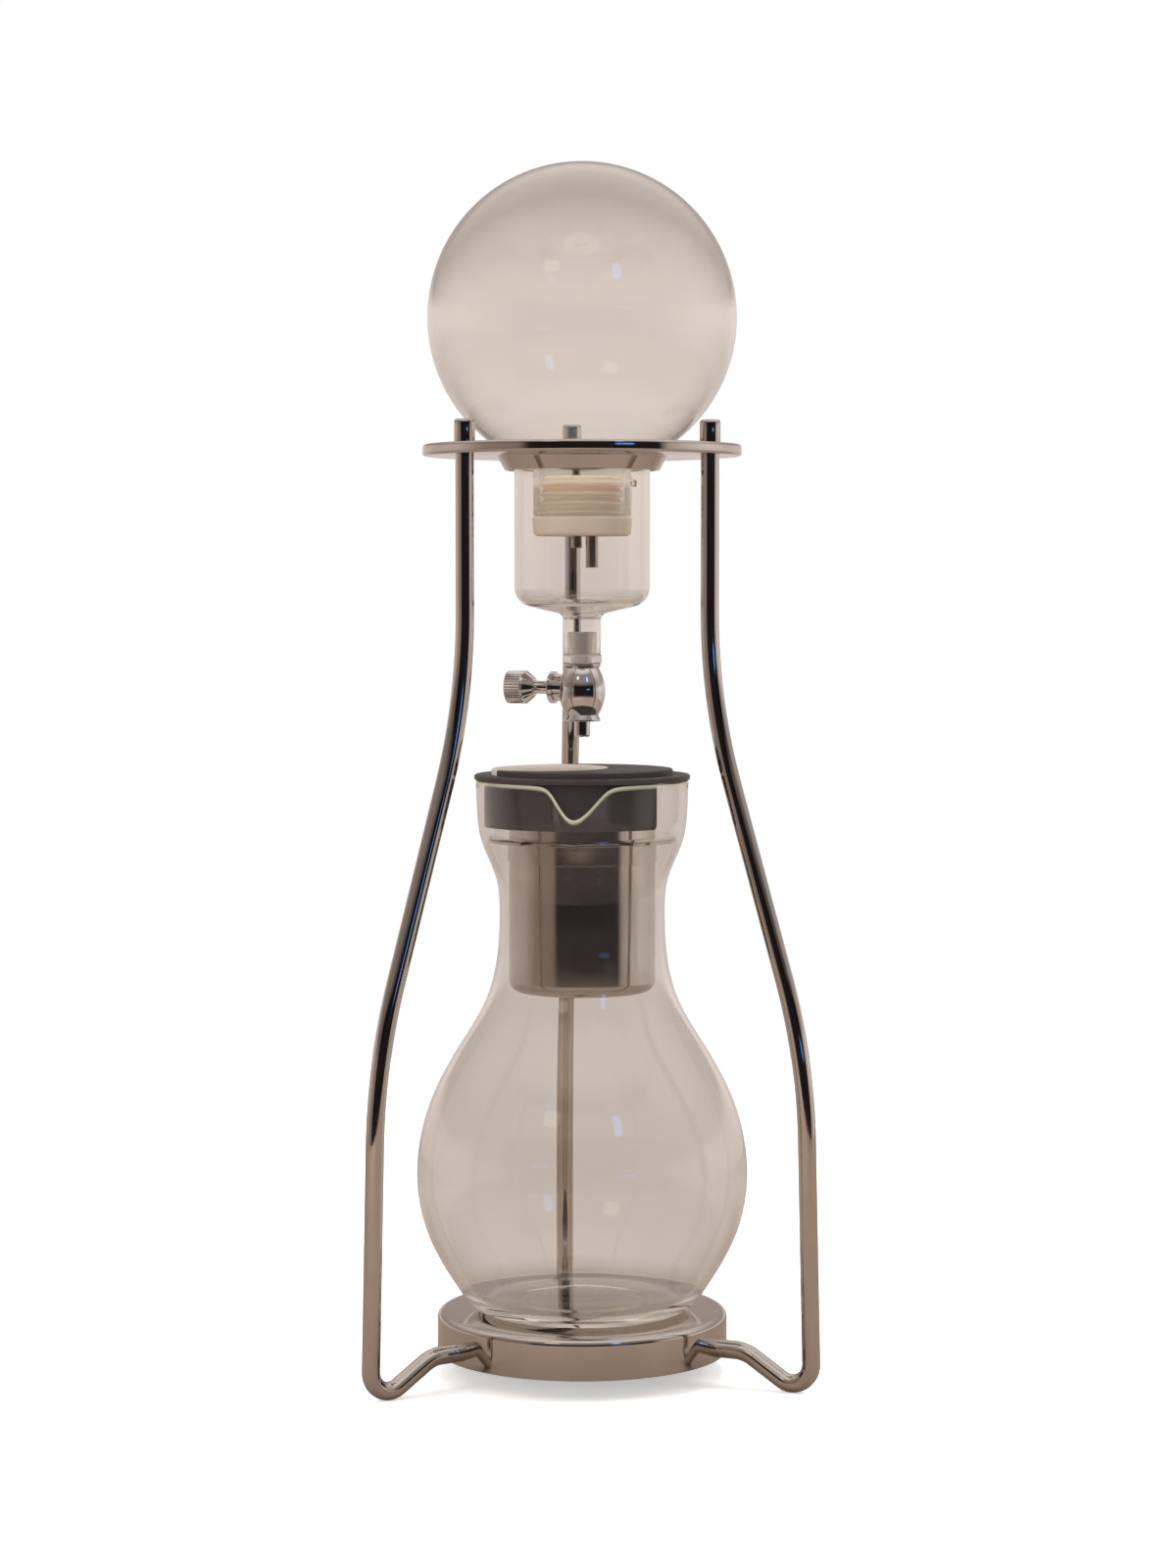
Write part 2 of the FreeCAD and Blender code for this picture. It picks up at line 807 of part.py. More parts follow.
def make_knob():
    end = knob_start + knob_length
    band_start = knob_start + knob_cone_length
    knob = turned([
        (0, knob_start),
        (knob_cone_radius, knob_start, edge_break),
        (knob_radius, band_start, 2 * edge_break),
        (knob_radius, end, knob_end_edge),
        (0, end),
    ])
    grooves = []
    for tooth in range(knob_teeth):
        grooves.append(knurl_cutter(360.0 * tooth / knob_teeth, band_start + knob_band, end + cut_over))
    knob = knob.cut(Part.makeCompound(grooves))
    knob = knob.cut(cylinder(spindle_end_radius + fit_gap, knob_start - cut_over, end - knob_cap))
    return along_valve(knob)


# Carafe

def carafe_curve():
    """The side of the carafe as one smooth curve, from the rim down to above the foot."""
    points = [Vector(r, 0, carafe_bottom + h) for r, h in carafe_outline]
    curve = Part.BSplineCurve()
    curve.interpolate(Points=points)
    return curve


def inner_curve(curve):
    """The same curve, moved inwards by the glass's thickness along its normal."""
    points = []
    steps = 2 * len(carafe_outline)
    for step in range(steps + 1):
        at = curve.FirstParameter + (curve.LastParameter - curve.FirstParameter) * step / steps
        along = curve.tangent(at)[0]
        normal = Vector(along.z, 0, -along.x)
        points.append(curve.value(at) + normal * carafe_wall)
    inner = Part.BSplineCurve()
    inner.interpolate(Points=points)
    return inner


def make_carafe_body():
    outer = carafe_curve()
    inner = inner_curve(outer)
    top_out = outer.value(outer.FirstParameter)
    foot_out = outer.value(outer.LastParameter)
    top_in = inner.value(inner.FirstParameter)
    foot_in = inner.value(inner.LastParameter)
    floor_top = carafe_bottom + carafe_floor
    punt_top = carafe_bottom + carafe_punt
    crown_top = floor_top + carafe_floor_crown
    rim_edges = rounded([
        (top_in.x, top_in.z),
        (carafe_rim_radius - carafe_wall, carafe_rim, carafe_rim_edge),
        (carafe_rim_radius, carafe_rim, carafe_rim_edge),
        (top_out.x, top_out.z),
    ], closed=False)
    foot_edges = rounded([
        (foot_out.x, foot_out.z),
        (carafe_heel_radius, carafe_bottom, carafe_heel_bend),
        (carafe_foot_inner, carafe_bottom, cut_over),
        (carafe_foot_inner - carafe_punt_slope, punt_top, carafe_punt_bend),
        (0, punt_top),
    ], closed=False)
    floor_edges = rounded([
        (0, crown_top),
        (carafe_heel_radius - carafe_wall / 2, floor_top, carafe_floor_bend),
        (foot_in.x, foot_in.z),
    ], closed=False)
    axis = [line((0, punt_top), (0, crown_top))]
    return lathe(rim_edges + [outer.toShape()] + foot_edges + axis + floor_edges + [inner.toShape()])


def spout_section(reach, bottom, half_width, grow):
    """A rounded V across the spout at a distance from the axis, open above the rim."""
    top = carafe_rim + spout_flare + grow
    half = half_width + grow
    flare = half + spout_flare
    edges = rounded([
        (-flare, top),
        (-half, carafe_rim, spout_shoulder_bend),
        (0, bottom - grow, spout_bend + grow),
        (half, carafe_rim, spout_shoulder_bend),
        (flare, top),
    ], closed=False)
    edges.append(line((flare, top), (-flare, top)))
    wire = Part.Wire(edges)
    wire.translate(Vector(0, -reach, 0))
    return wire


def spout_trough(grow, extra_reach):
    """The spout's channel, or with the glass's thickness as grow, the outside of the spout."""
    tip = carafe_rim - spout_depth
    root = tip - spout_root_drop
    rise = (tip - root) / (spout_reach - spout_root)
    end_half = spout_half_width
    wires = [
        spout_section(spout_root, root, spout_root_half_width, grow),
        spout_section(spout_reach + extra_reach, tip + rise * extra_reach, end_half, grow),
    ]
    return Part.makeLoft(wires, True, True)


def make_carafe():
    body = make_carafe_body()
    blank_bottom = carafe_rim - 2 * (spout_depth + spout_root_drop)
    blank_height = carafe_rim - blank_bottom
    plan_centre = Vector(0, spout_plan_radius - spout_reach, blank_bottom)
    plan = Part.makeCylinder(spout_plan_radius, blank_height, plan_centre)
    neck_inside = carafe_rim_radius - carafe_wall - spout_root_overlap
    neck_bore = cylinder(neck_inside, blank_bottom, carafe_rim + cut_over)
    lip = spout_trough(carafe_wall, 2 * cut_over).common(plan).cut(neck_bore)
    carafe = body.fuse(lip).cut(spout_trough(0.0, 3 * cut_over))
    return about_z(carafe, spout_angle - front_angle)


# Strainer basket

def make_basket_wall():
    inner = basket_radius - basket_wall
    return turned([
        (basket_opening, basket_bottom),
        (basket_radius, basket_bottom, basket_corner),
        (basket_radius, basket_top, edge_break),
        (inner, basket_top, edge_break),
        (inner, basket_bottom + basket_wall, basket_corner - basket_wall),
        (basket_opening, basket_bottom + basket_wall),
    ])


def make_basket_floor():
    radius = basket_radius - basket_corner - floor_gap
    bottom = basket_bottom + basket_wall
    top = bottom + floor_sheet
    holes = []
    for ring in range(floor_hole_rings + 1):
        count = max(1, 6 * ring)
        for i in range(count):
            turn = 2 * math.pi * i / count
            place = (ring * floor_hole_pitch * math.cos(turn), ring * floor_hole_pitch * math.sin(turn))
            holes.append(cylinder(floor_hole_radius, bottom - cut_over, top + cut_over, place))
    return cylinder(radius, bottom, top).cut(Part.makeCompound(holes))


def carafe_bore_at(height):
    """The carafe's inner radius at a height on its side."""
    curve = inner_curve(carafe_curve())
    size = 3 * max(radius for radius, rise in carafe_outline)
    cut = curve.toShape().section(Part.makePlane(size, size, Vector(-size / 2, -size / 2, height)))
    return max(v.X for v in cut.Vertexes)


def make_basket_flange():
    seat = carafe_bore_at(flange_height) - seat_gap - flange_seat_spare
    bore = basket_radius + fit_gap
    sleeve = bore + flange_sleeve_sheet
    top = flange_height + flange_sheet
    flange = turned([
        (bore, flange_height - flange_sleeve),
        (sleeve, flange_height - flange_sleeve),
        (sleeve, flange_height, flange_edge),
        (seat, flange_height, edge_break),
        (seat, top, flange_edge),
        (bore, top),
    ])
    notch = Part.makeBox(flange_notch_depth + cut_over, flange_notch_width, flange_sheet + 2 * cut_over)
    notch.translate(Vector(seat - flange_notch_depth, -flange_notch_width / 2, flange_height - cut_over))
    for side in (-1, 1):
        flange = flange.cut(about_z(notch, spout_angle + side * flange_notch_angle))
    return flange


# Lid

def disc_hole():
    """The round opening in the upper disc that takes the light insert."""
    turn = math.radians(insert_angle)
    return (insert_offset * math.cos(turn), insert_offset * math.sin(turn))


def skirt_corner_cutter(angle, side):
    """What rounds the skirt's lower corner beside the pouring gap; side is where the skirt lies."""
    inside = skirt_radius - skirt_wall - cut_over
    width = skirt_wall + 2 * cut_over
    centre = Vector(inside, side * skirt_corner, skirt_bottom + skirt_corner)
    block = Part.makeBox(width, skirt_corner + cut_over, skirt_corner + cut_over)
    low_side = -cut_over if side > 0 else -skirt_corner
    block.translate(Vector(inside, low_side, skirt_bottom - cut_over))
    round_end = Part.makeCylinder(skirt_corner, width, centre, Vector(1, 0, 0))
    return about_z(block.cut(round_end), angle)


def make_lid_body():
    top = lid_bottom + lid_sheet
    inner = skirt_radius - skirt_wall
    middle = drip_hole_radius + drip_collar_wall + fit_gap
    lid = turned([
        (middle, lid_bottom),
        (inner, lid_bottom, flange_edge),
        (inner, skirt_bottom, skirt_edge),
        (skirt_radius, skirt_bottom, skirt_edge),
        (skirt_radius, lid_bottom),
        (lid_radius, lid_bottom, lid_under_edge),
        (lid_radius, top, lid_edge),
        (middle, top),
    ])
    gap_bottom = skirt_bottom - cut_over
    lid = lid.cut(wedge(skirt_gap_from, skirt_gap_to, lid_radius + cut_over, gap_bottom, lid_bottom))
    lid = lid.cut(skirt_corner_cutter(skirt_gap_from, -1))
    return lid.cut(skirt_corner_cutter(skirt_gap_to, 1))


def disc_outline():
    bottom = lid_bottom + lid_sheet
    return [
        (0, bottom),
        (disc_radius, bottom),
        (disc_radius, lid_top, disc_edge),
        (0, lid_top),
    ]


def make_lid_disc():
    bottom = lid_bottom + lid_sheet
    hole = cylinder(insert_radius, bottom - cut_over, lid_top + cut_over, disc_hole())
    return turned(disc_outline()).cut(hole)


def make_lid_insert():
    bottom = lid_bottom + lid_sheet
    collar_end = bottom - drip_collar_length
    plate = turned(disc_outline()).common(cylinder(insert_radius - insert_gap, bottom, lid_top, disc_hole()))
    collar = cylinder(drip_hole_radius + drip_collar_wall, collar_end, bottom + disc_thickness / 2)
    slit = Part.makeBox(slit_length, slit_width, disc_thickness + 2 * cut_over)
    slit.translate(Vector(disc_radius - slit_length, -slit_width / 2, bottom - cut_over))
    insert = plate.fuse(collar)
    insert = insert.cut(cylinder(drip_hole_radius, collar_end - cut_over, lid_top + cut_over))
    return insert.cut(about_z(slit, slit_angle))


def main():
    os.makedirs("parts", exist_ok=True)
    export("base_shell", make_base_shell())
    export("base_plate", make_base_plate())
    for name, angle in leg_angles.items():
        export(name, make_leg(angle))
    export("leg_spacers", *[make_leg_spacer(angle) for angle in leg_angles.values()])
    export("leg_bolts", *[make_leg_bolt(angle) for angle in leg_angles.values()])
    export("ring_plate", make_ring_plate())
    export("cap_nuts", *[make_cap_nut(angle) for angle in leg_angles.values()])
    export("water_globe", make_water_globe())
    export("drip_cup", make_drip_cup())
    export("globe_plug", make_globe_plug())
    export("feed_tube", make_tube(feed_tube_radius, feed_tube_reach, feed_tube_place))
    export("air_tube", make_tube(air_tube_radius, air_tube_reach, air_tube_place))
    export("tap_sleeve", make_tap_sleeve())
    export("tap_inlet", make_tap_inlet())
    export("tap_body", make_tap_body())
    export("tap_nozzle", make_tap_nozzle())
    export("tap_bonnet", make_tap_bonnet())
    export("spindle", make_spindle())
    export("spindle_ring", make_spindle_ring())
    export("knob", make_knob())
    export("carafe", make_carafe())
    export("basket_wall", make_basket_wall())
    export("basket_floor", make_basket_floor())
    export("basket_flange", make_basket_flange())
    export("lid_body", make_lid_body())
    export("lid_disc", make_lid_disc())
    export("lid_insert", make_lid_insert())


main()
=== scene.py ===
import json
import math
import bpy
import numpy as np
from mathutils import Matrix, Vector

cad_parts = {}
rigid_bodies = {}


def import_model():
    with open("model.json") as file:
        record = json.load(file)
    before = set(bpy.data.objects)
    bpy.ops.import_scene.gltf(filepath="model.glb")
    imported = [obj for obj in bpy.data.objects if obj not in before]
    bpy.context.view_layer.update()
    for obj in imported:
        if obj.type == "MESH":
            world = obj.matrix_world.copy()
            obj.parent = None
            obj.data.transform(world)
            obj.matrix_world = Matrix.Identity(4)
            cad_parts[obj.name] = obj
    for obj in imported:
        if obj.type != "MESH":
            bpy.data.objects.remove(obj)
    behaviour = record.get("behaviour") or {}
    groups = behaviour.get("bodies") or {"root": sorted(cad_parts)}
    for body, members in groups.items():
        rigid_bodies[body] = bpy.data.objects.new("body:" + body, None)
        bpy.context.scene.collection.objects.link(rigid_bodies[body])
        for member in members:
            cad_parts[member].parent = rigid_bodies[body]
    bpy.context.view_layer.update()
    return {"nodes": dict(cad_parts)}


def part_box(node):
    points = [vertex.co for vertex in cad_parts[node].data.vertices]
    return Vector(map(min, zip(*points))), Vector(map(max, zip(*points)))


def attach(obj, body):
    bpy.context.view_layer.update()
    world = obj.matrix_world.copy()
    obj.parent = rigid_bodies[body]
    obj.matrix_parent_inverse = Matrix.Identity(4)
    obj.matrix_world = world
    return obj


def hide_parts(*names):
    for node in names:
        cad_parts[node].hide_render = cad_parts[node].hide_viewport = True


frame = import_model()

# Cold drip coffee tower. Metres; the tower's axis is Z and the carafe comes out towards -Y.
fullTurn = 2 * math.pi
smoothLimit = math.radians(32)   # edges sharper than this stay crisp
weldReach = 2e-6                 # points nearer than this are one


# Tools for turning, bending and cutting

def clearSelection():
    if bpy.context.mode != "OBJECT":
        bpy.ops.object.mode_set(mode="OBJECT")
    bpy.ops.object.select_all(action="DESELECT")


def useOnly(piece):
    clearSelection()
    piece.select_set(True)
    bpy.context.view_layer.objects.active = piece


def roundOff(corners, closed=False, steps=7):
    # corners are (radius, height) or (radius, height, rounding)
    points = [Vector(corner[:2]) for corner in corners]
    count = len(corners)
    path = []
    for i, here in enumerate(points):
        bend = corners[i][2] if len(corners[i]) > 2 else 0
        if bend == 0 or (not closed and i in (0, count - 1)):
            path.append(here)
            continue
        back = (points[i - 1] - here).normalized()
        ahead = (points[(i + 1) % count] - here).normalized()
        halfTurn = (math.pi - back.angle(ahead)) / 2
        middle = (back + ahead).normalized()
        centre = here + middle * (bend / math.cos(halfTurn))
        start = here + back * (bend * math.tan(halfTurn)) - centre
        turn = 2 * halfTurn if start.cross(-middle) > 0 else -2 * halfTurn
        for step in range(steps + 1):
            path.append(centre + Matrix.Rotation(turn * step / steps, 2) @ start)
    if closed:
        path.append(path[0])
    return path


def arcBetween(centre, radius, fromAngle, toAngle, steps):
    # angles in radians from the outward direction
    turns = [fromAngle + (toAngle - fromAngle) * step / steps for step in range(steps + 1)]
    return [Vector((centre[0] + radius * math.cos(a), centre[1] + radius * math.sin(a))) for a in turns]


def drawOutline(name, path):
    # a plane merged to one vertex, then extruded from point to point in the XZ plane
    clearSelection()
    bpy.ops.mesh.primitive_plane_add(size=0.01)
    piece = bpy.context.object
    piece.name = name
    bpy.ops.object.mode_set(mode="EDIT")
    bpy.ops.mesh.select_mode(type="VERT")
    bpy.ops.mesh.select_all(action="SELECT")
    bpy.ops.mesh.merge(type="CENTER")
    bpy.ops.transform.translate(value=(path[0][0], 0, path[0][1]))
    for start, end in zip(path, path[1:]):
        step = (end[0] - start[0], 0, end[1] - start[1])
        bpy.ops.mesh.extrude_region_move(TRANSFORM_OT_translate={"value": step})
    bpy.ops.mesh.select_all(action="SELECT")
    bpy.ops.mesh.remove_doubles(threshold=weldReach)
    return piece


def closeUp():
    bpy.ops.mesh.select_all(action="SELECT")
    bpy.ops.mesh.remove_doubles(threshold=weldReach)
    bpy.ops.mesh.normals_make_consistent(inside=False)
    bpy.ops.object.mode_set(mode="OBJECT")
    bpy.ops.object.shade_smooth_by_angle(angle=smoothLimit)


def turn(name, path, segments):
    piece = drawOutline(name, path)
    bpy.ops.mesh.spin(steps=segments, angle=fullTurn, center=(0, 0, 0), axis=(0, 0, 1))
    closeUp()
    return piece


def turnPart(name, path, fromAngle, toAngle, segments):
    # a closed outline turned through part of a circle, with its two ends filled
    piece = drawOutline(name, path)
    bpy.ops.mesh.edge_face_add()
    bpy.ops.transform.rotate(value=-fromAngle, orient_axis="Z", center_override=(0, 0, 0))
    bpy.ops.mesh.spin(steps=segments, angle=toAngle - fromAngle, center=(0, 0, 0), axis=(0, 0, -1))
    closeUp()
    return piece


def settle(piece, place=(0, 0, 0), tilt=(0, 0, 0)):
    # the piece is moved and turned, and its place goes into its mesh
    useOnly(piece)
    piece.location = place
    piece.rotation_euler = tilt
    bpy.ops.object.transform_apply(location=True, rotation=True, scale=True)
    return piece


def copyTurned(piece, name, angle):
    useOnly(piece)
    bpy.ops.object.duplicate()
    copy = bpy.context.object
    copy.name = name
    return settle(copy, tilt=(0, 0, angle))


def bendRod(name, path, radius, sides=10):
    piece = drawOutline(name, path)
    bpy.ops.object.mode_set(mode="OBJECT")
    bpy.ops.object.convert(target="CURVE")
    curve = bpy.context.object
    curve.data.bevel_depth = radius
    curve.data.bevel_resolution = sides
    curve.data.use_fill_caps = True
    bpy.ops.object.convert(target="MESH")
    piece = bpy.context.object
    piece.name = name
    bpy.ops.object.mode_set(mode="EDIT")
    closeUp()
    return piece


def addCylinder(name, radius, low, high, place=(0, 0), segments=64):
    clearSelection()
    bpy.ops.mesh.primitive_cylinder_add(vertices=segments, radius=radius, depth=high - low,
                                        location=(place[0], place[1], (low + high) / 2))
    piece = bpy.context.object
    piece.name = name
    return settle(piece, piece.location.copy())


def addBlock(name, size, place, angle):
    # a block that is set at its place and then turned round the tower's axis
    clearSelection()
    bpy.ops.mesh.primitive_cube_add(size=1)
    block = bpy.context.object
    block.name = name
    block.scale = size
    settle(block, place)
    return settle(block, tilt=(0, 0, angle))


def pickNothing(piece, kind):
    # the piece's mesh is left with nothing picked, ready for vertices or edges to be picked by their place
    useOnly(piece)
    bpy.ops.object.mode_set(mode="EDIT")
    bpy.ops.mesh.select_all(action="DESELECT")
    bpy.ops.mesh.select_mode(type=kind)
    bpy.ops.object.mode_set(mode="OBJECT")


def combine(piece, other, operation):
    useOnly(piece)
    modifier = piece.modifiers.new("Combine", "BOOLEAN")
    modifier.operation = operation
    modifier.solver = "EXACT"
    modifier.object = other
    bpy.ops.object.modifier_apply(modifier=modifier.name)
    bpy.data.objects.remove(other)
    bpy.ops.object.shade_smooth_by_angle(angle=smoothLimit)


def finishPiece(piece, body, slot, node, material=None):
    # a piece has the finish that is kept under the name of its slot, unless it is given another one
    piece.data.materials.clear()
    piece.data.materials.append(material or finishes[slot])
    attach(piece, body)
    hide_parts(node)


# Shared effects, each a node group with named inputs and outputs

effects = {
    # waves in a metre, shares of two noises, and the part of a noise's range that shows
    "fineMarks": 1400.0, "broadShare": 0.75, "marksSeen": (0.34, 0.68), "lineStretch": 0.02,
    "clouds": 45.0, "grainShare": 0.6, "cloudsSeen": (0.3, 0.7), "mattRoughness": (0.46, 0.6),
}


def newGroup(name, inputs, outputs):
    group = bpy.data.node_groups.new(name, "ShaderNodeTree")
    kinds = {"value": "NodeSocketFloat", "color": "NodeSocketColor"}
    for label, kind, default in inputs:
        socket = group.interface.new_socket(name=label, in_out="INPUT", socket_type=kinds[kind])
        socket.default_value = default
    for label, kind in outputs:
        group.interface.new_socket(name=label, in_out="OUTPUT", socket_type=kinds[kind])
    return group, group.nodes.new("NodeGroupInput"), group.nodes.new("NodeGroupOutput")


def addNode(tree, kind, settings=None, **values):
    # settings are the node's own choices; values are its inputs, as numbers, colours or other nodes' outputs
    node = tree.nodes.new("ShaderNode" + kind)
    for key, value in (settings or {}).items():
        setattr(node, key, value)
    for key, value in values.items():
        label = int(key[1:]) if key[1:].isdigit() else key.replace("_", " ")
        socket = node.inputs[label]
        if isinstance(value, bpy.types.NodeSocket):
            tree.links.new(value, socket)
        else:
            socket.default_value = value
    return node


def maths(tree, operation, first, second=0.0):
    return addNode(tree, "Math", {"operation": operation}, n0=first, n1=second).outputs[0]


def ramp(tree, factor, low, high, fromValue=0.0, toValue=1.0, kind="LINEAR"):
    return addNode(tree, "MapRange", {"interpolation_type": kind}, Value=factor, From_Min=low, From_Max=high,
                   To_Min=fromValue, To_Max=toValue).outputs[0]


def objectPlace(tree):
    return addNode(tree, "TexCoord").outputs["Object"]


def noise(tree, place, scale, detail, roughness):
    node = addNode(tree, "TexNoise", None, Vector=place, Scale=scale, Detail=detail, Roughness=roughness)
    return node.outputs[0]


def scaled(tree, vector, scale):
    return addNode(tree, "VectorMath", {"operation": "SCALE"}, n0=vector, Scale=scale).outputs[0]


def dot(tree, first, second):
    return addNode(tree, "VectorMath", {"operation": "DOT_PRODUCT"}, n0=first, n1=second).outputs["Value"]


def mixColours(tree, share, under, over, way="MIX"):
    settings = {"data_type": "RGBA", "blend_type": way}
    return addNode(tree, "Mix", settings, n0=share, n6=under, n7=over).outputs[2]


def mixShaders(tree, share, first, second):
    return addNode(tree, "MixShader", None, n0=share, n1=first, n2=second).outputs[0]


def blend(tree, first, second, share):
    # two values added, the first with its share and the second with the rest
    rest = maths(tree, "MULTIPLY", second, 1 - share)
    return maths(tree, "ADD", maths(tree, "MULTIPLY", first, share), rest)


def colourRamp(tree, factor, stops):
    # stops are (position, colour) in rising order
    node = addNode(tree, "ValToRGB", None, Fac=factor)
    elements = node.color_ramp.elements
    for index, (position, color) in enumerate(stops):
        last = index == len(stops) - 1
        stop = elements[0] if index == 0 else elements[-1] if last else elements.new(position)
        stop.position, stop.color = position, color
    return node.outputs[0]


def makeHandlingGroup():
    # cloudy marks of handling and wiping: a roughness that drifts, and a faint tone
    group, given, result = newGroup("handlingMarks", [
        ("Scale", "value", 60.0), ("Smooth", "value", 0.1), ("Dull", "value", 0.2),
        ("Tone", "color", (1, 1, 1, 1)), ("Shade", "value", 0.06),
    ], [("Roughness", "value"), ("Color", "color")])
    place = objectPlace(group)
    broad = noise(group, place, given.outputs["Scale"], detail=3.0, roughness=0.55)
    fine = noise(group, place, effects["fineMarks"], detail=2.0, roughness=0.6)
    mixed = blend(group, broad, fine, effects["broadShare"])
    marks = ramp(group, mixed, *effects["marksSeen"], kind="SMOOTHSTEP")
    rough = ramp(group, marks, 0.0, 1.0, given.outputs["Smooth"], given.outputs["Dull"])
    darker = maths(group, "SUBTRACT", 1.0, maths(group, "MULTIPLY", marks, given.outputs["Shade"]))
    group.links.new(rough, result.inputs["Roughness"])
    group.links.new(scaled(group, given.outputs["Tone"], darker), result.inputs["Color"])
    return group


def makeTurningGroup():
    # the fine rings that a lathe or a polishing wheel leaves round an upright axis
    group, given, result = newGroup("turningMarks", [("Pitch", "value", 0.0004)], [("Height", "value")])
    parts = addNode(group, "SeparateXYZ", None, Vector=objectPlace(group)).outputs
    flat = addNode(group, "CombineXYZ", None, X=parts[0], Y=parts[1]).outputs[0]
    radius = addNode(group, "VectorMath", {"operation": "LENGTH"}, n0=flat).outputs["Value"]
    rings = addNode(group, "CombineXYZ", None, X=maths(group, "DIVIDE", radius, given.outputs["Pitch"]),
                    Z=maths(group, "DIVIDE", parts[2], given.outputs["Pitch"])).outputs[0]
    group.links.new(noise(group, rings, 1.0, detail=3.0, roughness=0.7), result.inputs["Height"])
    return group


def makeDrawnGroup():
    # the fine lines along a drawn rod or tube
    group, given, result = newGroup("drawnLines", [("Width", "value", 0.0003)], [("Height", "value")])
    stretched = (1.0, 1.0, effects["lineStretch"])
    across = addNode(group, "Mapping", None, Vector=objectPlace(group), Scale=stretched).outputs[0]
    finer = scaled(group, across, maths(group, "DIVIDE", 1.0, given.outputs["Width"]))
    group.links.new(noise(group, finer, 1.0, detail=2.0, roughness=0.6), result.inputs["Height"])
    return group


def makeMouldGroup():
    # the fine etched grain of a matt moulding, with its tone
    group, given, result = newGroup("mouldGrain", [
        ("Grain", "value", 0.00035), ("Tone", "color", (1, 1, 1, 1)), ("Shade", "value", 0.1),
    ], [("Height", "value"), ("Color", "color"), ("Roughness", "value")])
    place = objectPlace(group)
    finer = scaled(group, place, maths(group, "DIVIDE", 1.0, given.outputs["Grain"]))
    grain = noise(group, finer, 1.0, detail=3.0, roughness=0.65)
    cloud = noise(group, place, effects["clouds"], detail=3.0, roughness=0.5)
    shade = blend(group, grain, cloud, effects["grainShare"])
    swing = maths(group, "MULTIPLY", maths(group, "SUBTRACT", shade, 0.5), given.outputs["Shade"])
    tone = scaled(group, given.outputs["Tone"], maths(group, "ADD", 1.0, swing))
    rough = ramp(group, cloud, *effects["cloudsSeen"], *effects["mattRoughness"])
    group.links.new(grain, result.inputs["Height"])
    group.links.new(tone, result.inputs["Color"])
    group.links.new(rough, result.inputs["Roughness"])
    return group


handlingGroup = makeHandlingGroup()
turningGroup = makeTurningGroup()
drawnGroup = makeDrawnGroup()
mouldGroup = makeMouldGroup()
print("Shared effects made")


# Finishes

blownGlass = {
    "tint": (0.965, 0.96, 0.945), "index": 1.44, "patches": 38.0, "dull": 0.02,
    "waves": 34.0, "waviness": 0.00004, "turns": 4.5, "shadow": (0.94, 0.93, 0.91, 1),
}
silicone = {
    "index": 1.41, "grain": 0.0006, "shade": 0.08, "depth": 0.00001, "patches": 90.0,
    "reach": (0.006, 0.005, 0.004),
}


def newMaterial(name):
    material = bpy.data.materials.new(name)
    material.use_nodes = True
    tree = material.node_tree
    return material, tree, tree.nodes["Principled BSDF"]


def placeGroup(tree, group, **values):
    node = tree.nodes.new("ShaderNodeGroup")
    node.node_tree = group
    for key, value in values.items():
        node.inputs[key].default_value = value
    return node


def roughen(tree, shader, height, distance):
    bump = addNode(tree, "Bump", None, Height=height, Distance=distance, Strength=1.0)
    tree.links.new(bump.outputs[0], shader.inputs["Normal"])


def metalFinish(name, tone, smooth, dull, grain, grainGroup, grainSize, shade=0.08, patches=60.0):
    # polished metal: smooth and dull are its least and greatest roughness, grain is the depth of its lines
    material, tree, shader = newMaterial(name)
    shader.inputs["Metallic"].default_value = 1.0
    marks = placeGroup(tree, handlingGroup, Scale=patches, Smooth=smooth, Dull=dull,
                       Tone=(*tone, 1), Shade=shade)
    tree.links.new(marks.outputs["Color"], shader.inputs["Base Color"])
    tree.links.new(marks.outputs["Roughness"], shader.inputs["Roughness"])
    lines = placeGroup(tree, grainGroup)
    lines.inputs[0].default_value = grainSize
    roughen(tree, shader, lines.outputs["Height"], grain)
    return material


def glassFinish(name):
    # clear blown glass: nearly smooth, with the slow waves of the blowing
    material, tree, shader = newMaterial(name)
    shader.inputs["Base Color"].default_value = (*blownGlass["tint"], 1)
    shader.inputs["Transmission Weight"].default_value = 1.0
    shader.inputs["IOR"].default_value = blownGlass["index"]
    marks = placeGroup(tree, handlingGroup, Scale=blownGlass["patches"], Smooth=0.0, Dull=blownGlass["dull"])
    tree.links.new(marks.outputs["Roughness"], shader.inputs["Roughness"])
    waves = noise(tree, objectPlace(tree), blownGlass["waves"], detail=1.0, roughness=0.4)
    roughen(tree, shader, waves, blownGlass["waviness"])
    # shadows, and light that has turned often inside the glass, pass straight on
    path = addNode(tree, "LightPath").outputs
    often = maths(tree, "GREATER_THAN", path["Ray Depth"], blownGlass["turns"])
    past = maths(tree, "MAXIMUM", path["Is Shadow Ray"], often)
    clear = addNode(tree, "BsdfTransparent", None, Color=blownGlass["shadow"]).outputs[0]
    both = mixShaders(tree, past, shader.outputs[0], clear)
    tree.links.new(both, tree.nodes["Material Output"].inputs["Surface"])
    return material


